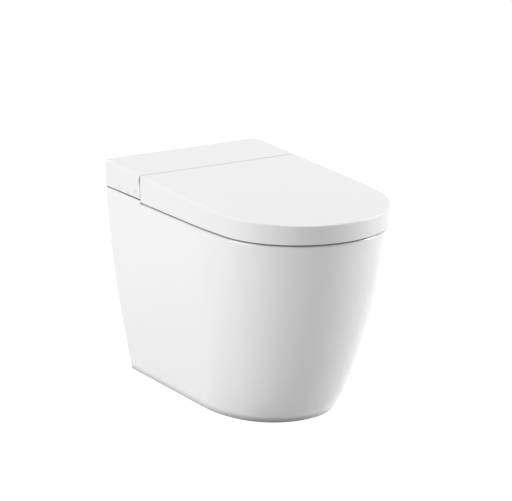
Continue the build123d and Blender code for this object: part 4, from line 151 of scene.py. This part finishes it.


# Finishes by material slot: grain and cloud are noise scales, depth and reach are metres; reach and
# the darkest level set the shade painted into crevices
WHITE = (0.88, 0.882, 0.878)
FINE = {"grain": 1200.0, "bump": 0.03, "depth": 0.00002, "shift": 0.008}
FINISHES = {
    # ceramic: painted shade darkens the rim and gaps, such as the gap under the lid
    "ceramic": dict(
        color=WHITE, roughness=0.06, spread=0.03, grain=14.0, bump=0.1, depth=0.0006,
        shift=0.01, cloud=3.0, reach=0.018, darkest=0.35, Coat_Weight=0.6, Coat_Roughness=0.03,
    ),
    "shell_white": dict(color=WHITE, roughness=0.33, spread=0.04, cloud=3.0, **FINE),
    # seat: painted shade darkens its gaps against the lid and ceramic
    "seat_white": dict(
        color=(0.86, 0.862, 0.856), roughness=0.34, spread=0.05, cloud=3.0,
        reach=0.012, darkest=0.35, **FINE,
    ),
    "frame_grey": dict(
        color=(0.36, 0.37, 0.39), roughness=0.5, spread=0.06, grain=700.0, bump=0.25,
        depth=0.0001, shift=0.05, cloud=8.0,
    ),
    "duct_black": dict(
        color=(0.035, 0.035, 0.037), roughness=0.45, spread=0.08, grain=700.0, bump=0.3,
        depth=0.0001, shift=0.1, cloud=8.0,
    ),
    "nozzle_white": dict(
        color=(0.85, 0.86, 0.87), roughness=0.15, spread=0.04, grain=500.0, bump=0.05,
        depth=0.00005, shift=0.01, cloud=10.0,
    ),
    "acetal": dict(
        color=(0.8, 0.78, 0.72), roughness=0.4, spread=0.06, grain=600.0, bump=0.1,
        depth=0.00005, shift=0.02, cloud=20.0,
    ),
    "steel": dict(
        color=(0.62, 0.63, 0.65), roughness=0.36, spread=0.06, grain=500.0, bump=0.1,
        depth=0.00004, shift=0.06, cloud=30.0, Metallic=1.0,
    ),
    # buttons: painted shade darkens the seams round each button
    "button_white": dict(
        color=WHITE, roughness=0.33, spread=0.04, cloud=30.0, reach=0.004, darkest=0.5, **FINE,
    ),
    "brass": dict(
        color=(0.72, 0.52, 0.25), roughness=0.38, spread=0.08, grain=500.0, bump=0.15,
        depth=0.00006, shift=0.12, cloud=30.0, Metallic=1.0,
    ),
    "rubber_grey": dict(
        color=(0.3, 0.3, 0.31), roughness=0.7, spread=0.08, grain=600.0, bump=0.3,
        depth=0.0001, shift=0.08, cloud=20.0,
    ),
    "rubber_black": dict(
        color=(0.03, 0.03, 0.03), roughness=0.65, spread=0.1, grain=600.0, bump=0.35,
        depth=0.0001, shift=0.15, cloud=20.0,
    ),
    "motor_metal": dict(
        color=(0.5, 0.51, 0.53), roughness=0.4, spread=0.08, grain=500.0, bump=0.15,
        depth=0.00006, shift=0.08, cloud=20.0, Metallic=1.0,
    ),
    "board_green": dict(
        color=(0.02, 0.14, 0.06), roughness=0.36, spread=0.05, grain=900.0, bump=0.2,
        depth=0.00005, shift=0.25, cloud=60.0,
    ),
    "heater_film": dict(
        color=(0.6, 0.3, 0.07), roughness=0.38, spread=0.06, grain=400.0, bump=0.2,
        depth=0.0001, shift=0.15, cloud=20.0,
    ),
    "carbon": dict(
        color=(0.02, 0.02, 0.02), roughness=0.9, spread=0.05, grain=500.0, bump=1.0,
        depth=0.0006, shift=0.4, cloud=300.0,
    ),
}
materials = {slot: surface(slot, **finish) for slot, finish in FINISHES.items()}
slots = {entry["node"]: entry["material_slot"] for entry in frame["record"]["subparts"]}
for name, node in nodes.items():
    node.data.materials.clear()
    node.data.materials.append(materials[slots[name]])

# Floor and world: levels of light, and the floor's own grey
FLOOR_SIZE = 12.0
FLOOR_COLOR = (0.5, 0.5, 0.5, 1)
FLOOR_GLOW = 0.86
WORLD_COLOR = (1, 1, 1, 1)
WORLD_LIGHT = 0.3
WORLD_SEEN = 1.0


def seen_directly(tree):
    """1 for camera, glossy and transmission rays, 0 for light that bounces off or passes."""
    path = tree.nodes.new("ShaderNodeLightPath")
    total = path.outputs["Is Camera Ray"]
    for ray in ("Is Glossy Ray", "Is Transmission Ray"):
        node = tree.nodes.new("ShaderNodeMath")
        node.operation = "MAXIMUM"
        tree.links.new(total, node.inputs[0])
        tree.links.new(path.outputs[ray], node.inputs[1])
        total = node.outputs[0]
    return total


def add_floor():
    """Pale floor that is near white to the camera and still takes the object's shadow."""
    half = FLOOR_SIZE / 2
    corners = [(-half, -half, 0), (half, -half, 0), (half, half, 0), (-half, half, 0)]
    mesh = bpy.data.meshes.new("floor")
    mesh.from_pydata(corners, [], [(0, 1, 2, 3)])
    floor = bpy.data.objects.new("floor", mesh)
    scene.collection.objects.link(floor)
    material = bpy.data.materials.new("floor")
    material.use_nodes = True
    tree = material.node_tree
    tree.nodes.clear()
    output = tree.nodes.new("ShaderNodeOutputMaterial")
    diffuse = tree.nodes.new("ShaderNodeBsdfDiffuse")
    diffuse.inputs["Color"].default_value = FLOOR_COLOR
    emission = tree.nodes.new("ShaderNodeEmission")
    scale = tree.nodes.new("ShaderNodeMath")
    scale.operation = "MULTIPLY"
    scale.inputs[1].default_value = FLOOR_GLOW
    tree.links.new(seen_directly(tree), scale.inputs[0])
    tree.links.new(scale.outputs[0], emission.inputs["Strength"])
    add = tree.nodes.new("ShaderNodeAddShader")
    tree.links.new(diffuse.outputs[0], add.inputs[0])
    tree.links.new(emission.outputs[0], add.inputs[1])
    tree.links.new(add.outputs[0], output.inputs["Surface"])
    mesh.materials.append(material)


def add_world():
    """White to the camera and in reflections, a weaker grey as light."""
    world = bpy.data.worlds.new("world")
    scene.world = world
    world.use_nodes = True
    tree = world.node_tree
    tree.nodes.clear()
    output = tree.nodes.new("ShaderNodeOutputWorld")
    background = tree.nodes.new("ShaderNodeBackground")
    background.inputs["Color"].default_value = WORLD_COLOR
    span = tree.nodes.new("ShaderNodeMapRange")
    span.inputs["To Min"].default_value = WORLD_LIGHT
    span.inputs["To Max"].default_value = WORLD_SEEN
    tree.links.new(seen_directly(tree), span.inputs["Value"])
    tree.links.new(span.outputs["Result"], background.inputs["Strength"])
    tree.links.new(background.outputs[0], output.inputs["Surface"])


add_floor()
add_world()

# Lamps: places and sizes in metres, power in watts
LOW_AIM = (0, 0, 0.2)
HIGH_AIM = (0, 0, 0.4)


def around(azimuth, height, reach):
    """A point round the object: azimuth 0 in front, 90 to the right, seen from above."""
    angle = math.radians(azimuth)
    return (reach * math.sin(angle), -reach * math.cos(angle), height)


def add_lamp(name, place, aim, size, power):
    """A soft square lamp at a place, aimed at a point."""
    data = bpy.data.lights.new(name, "AREA")
    data.shape = "RECTANGLE"
    data.size, data.size_y = size
    data.energy = power
    lamp = bpy.data.objects.new(name, data)
    lamp.location = place
    lamp.rotation_euler = (Vector(aim) - Vector(place)).to_track_quat("-Z", "Y").to_euler()
    scene.collection.objects.link(lamp)


LAMPS = (
    dict(name="lamp_left", place=around(-104, 1.2, 3.0), aim=LOW_AIM, size=(2.2, 2.0), power=51),
    dict(name="lamp_right", place=around(66, 1.2, 3.0), aim=LOW_AIM, size=(1.2, 2.0), power=60),
    dict(name="lamp_top", place=(0, 0.6, 3.2), aim=HIGH_AIM, size=(2.5, 2.5), power=34),
    dict(name="lamp_front", place=around(-41, 1.5, 3.2), aim=LOW_AIM, size=(0.8, 1.4), power=11),
)
for lamp in LAMPS:
    add_lamp(**lamp)

scene.view_settings.view_transform = "Standard"
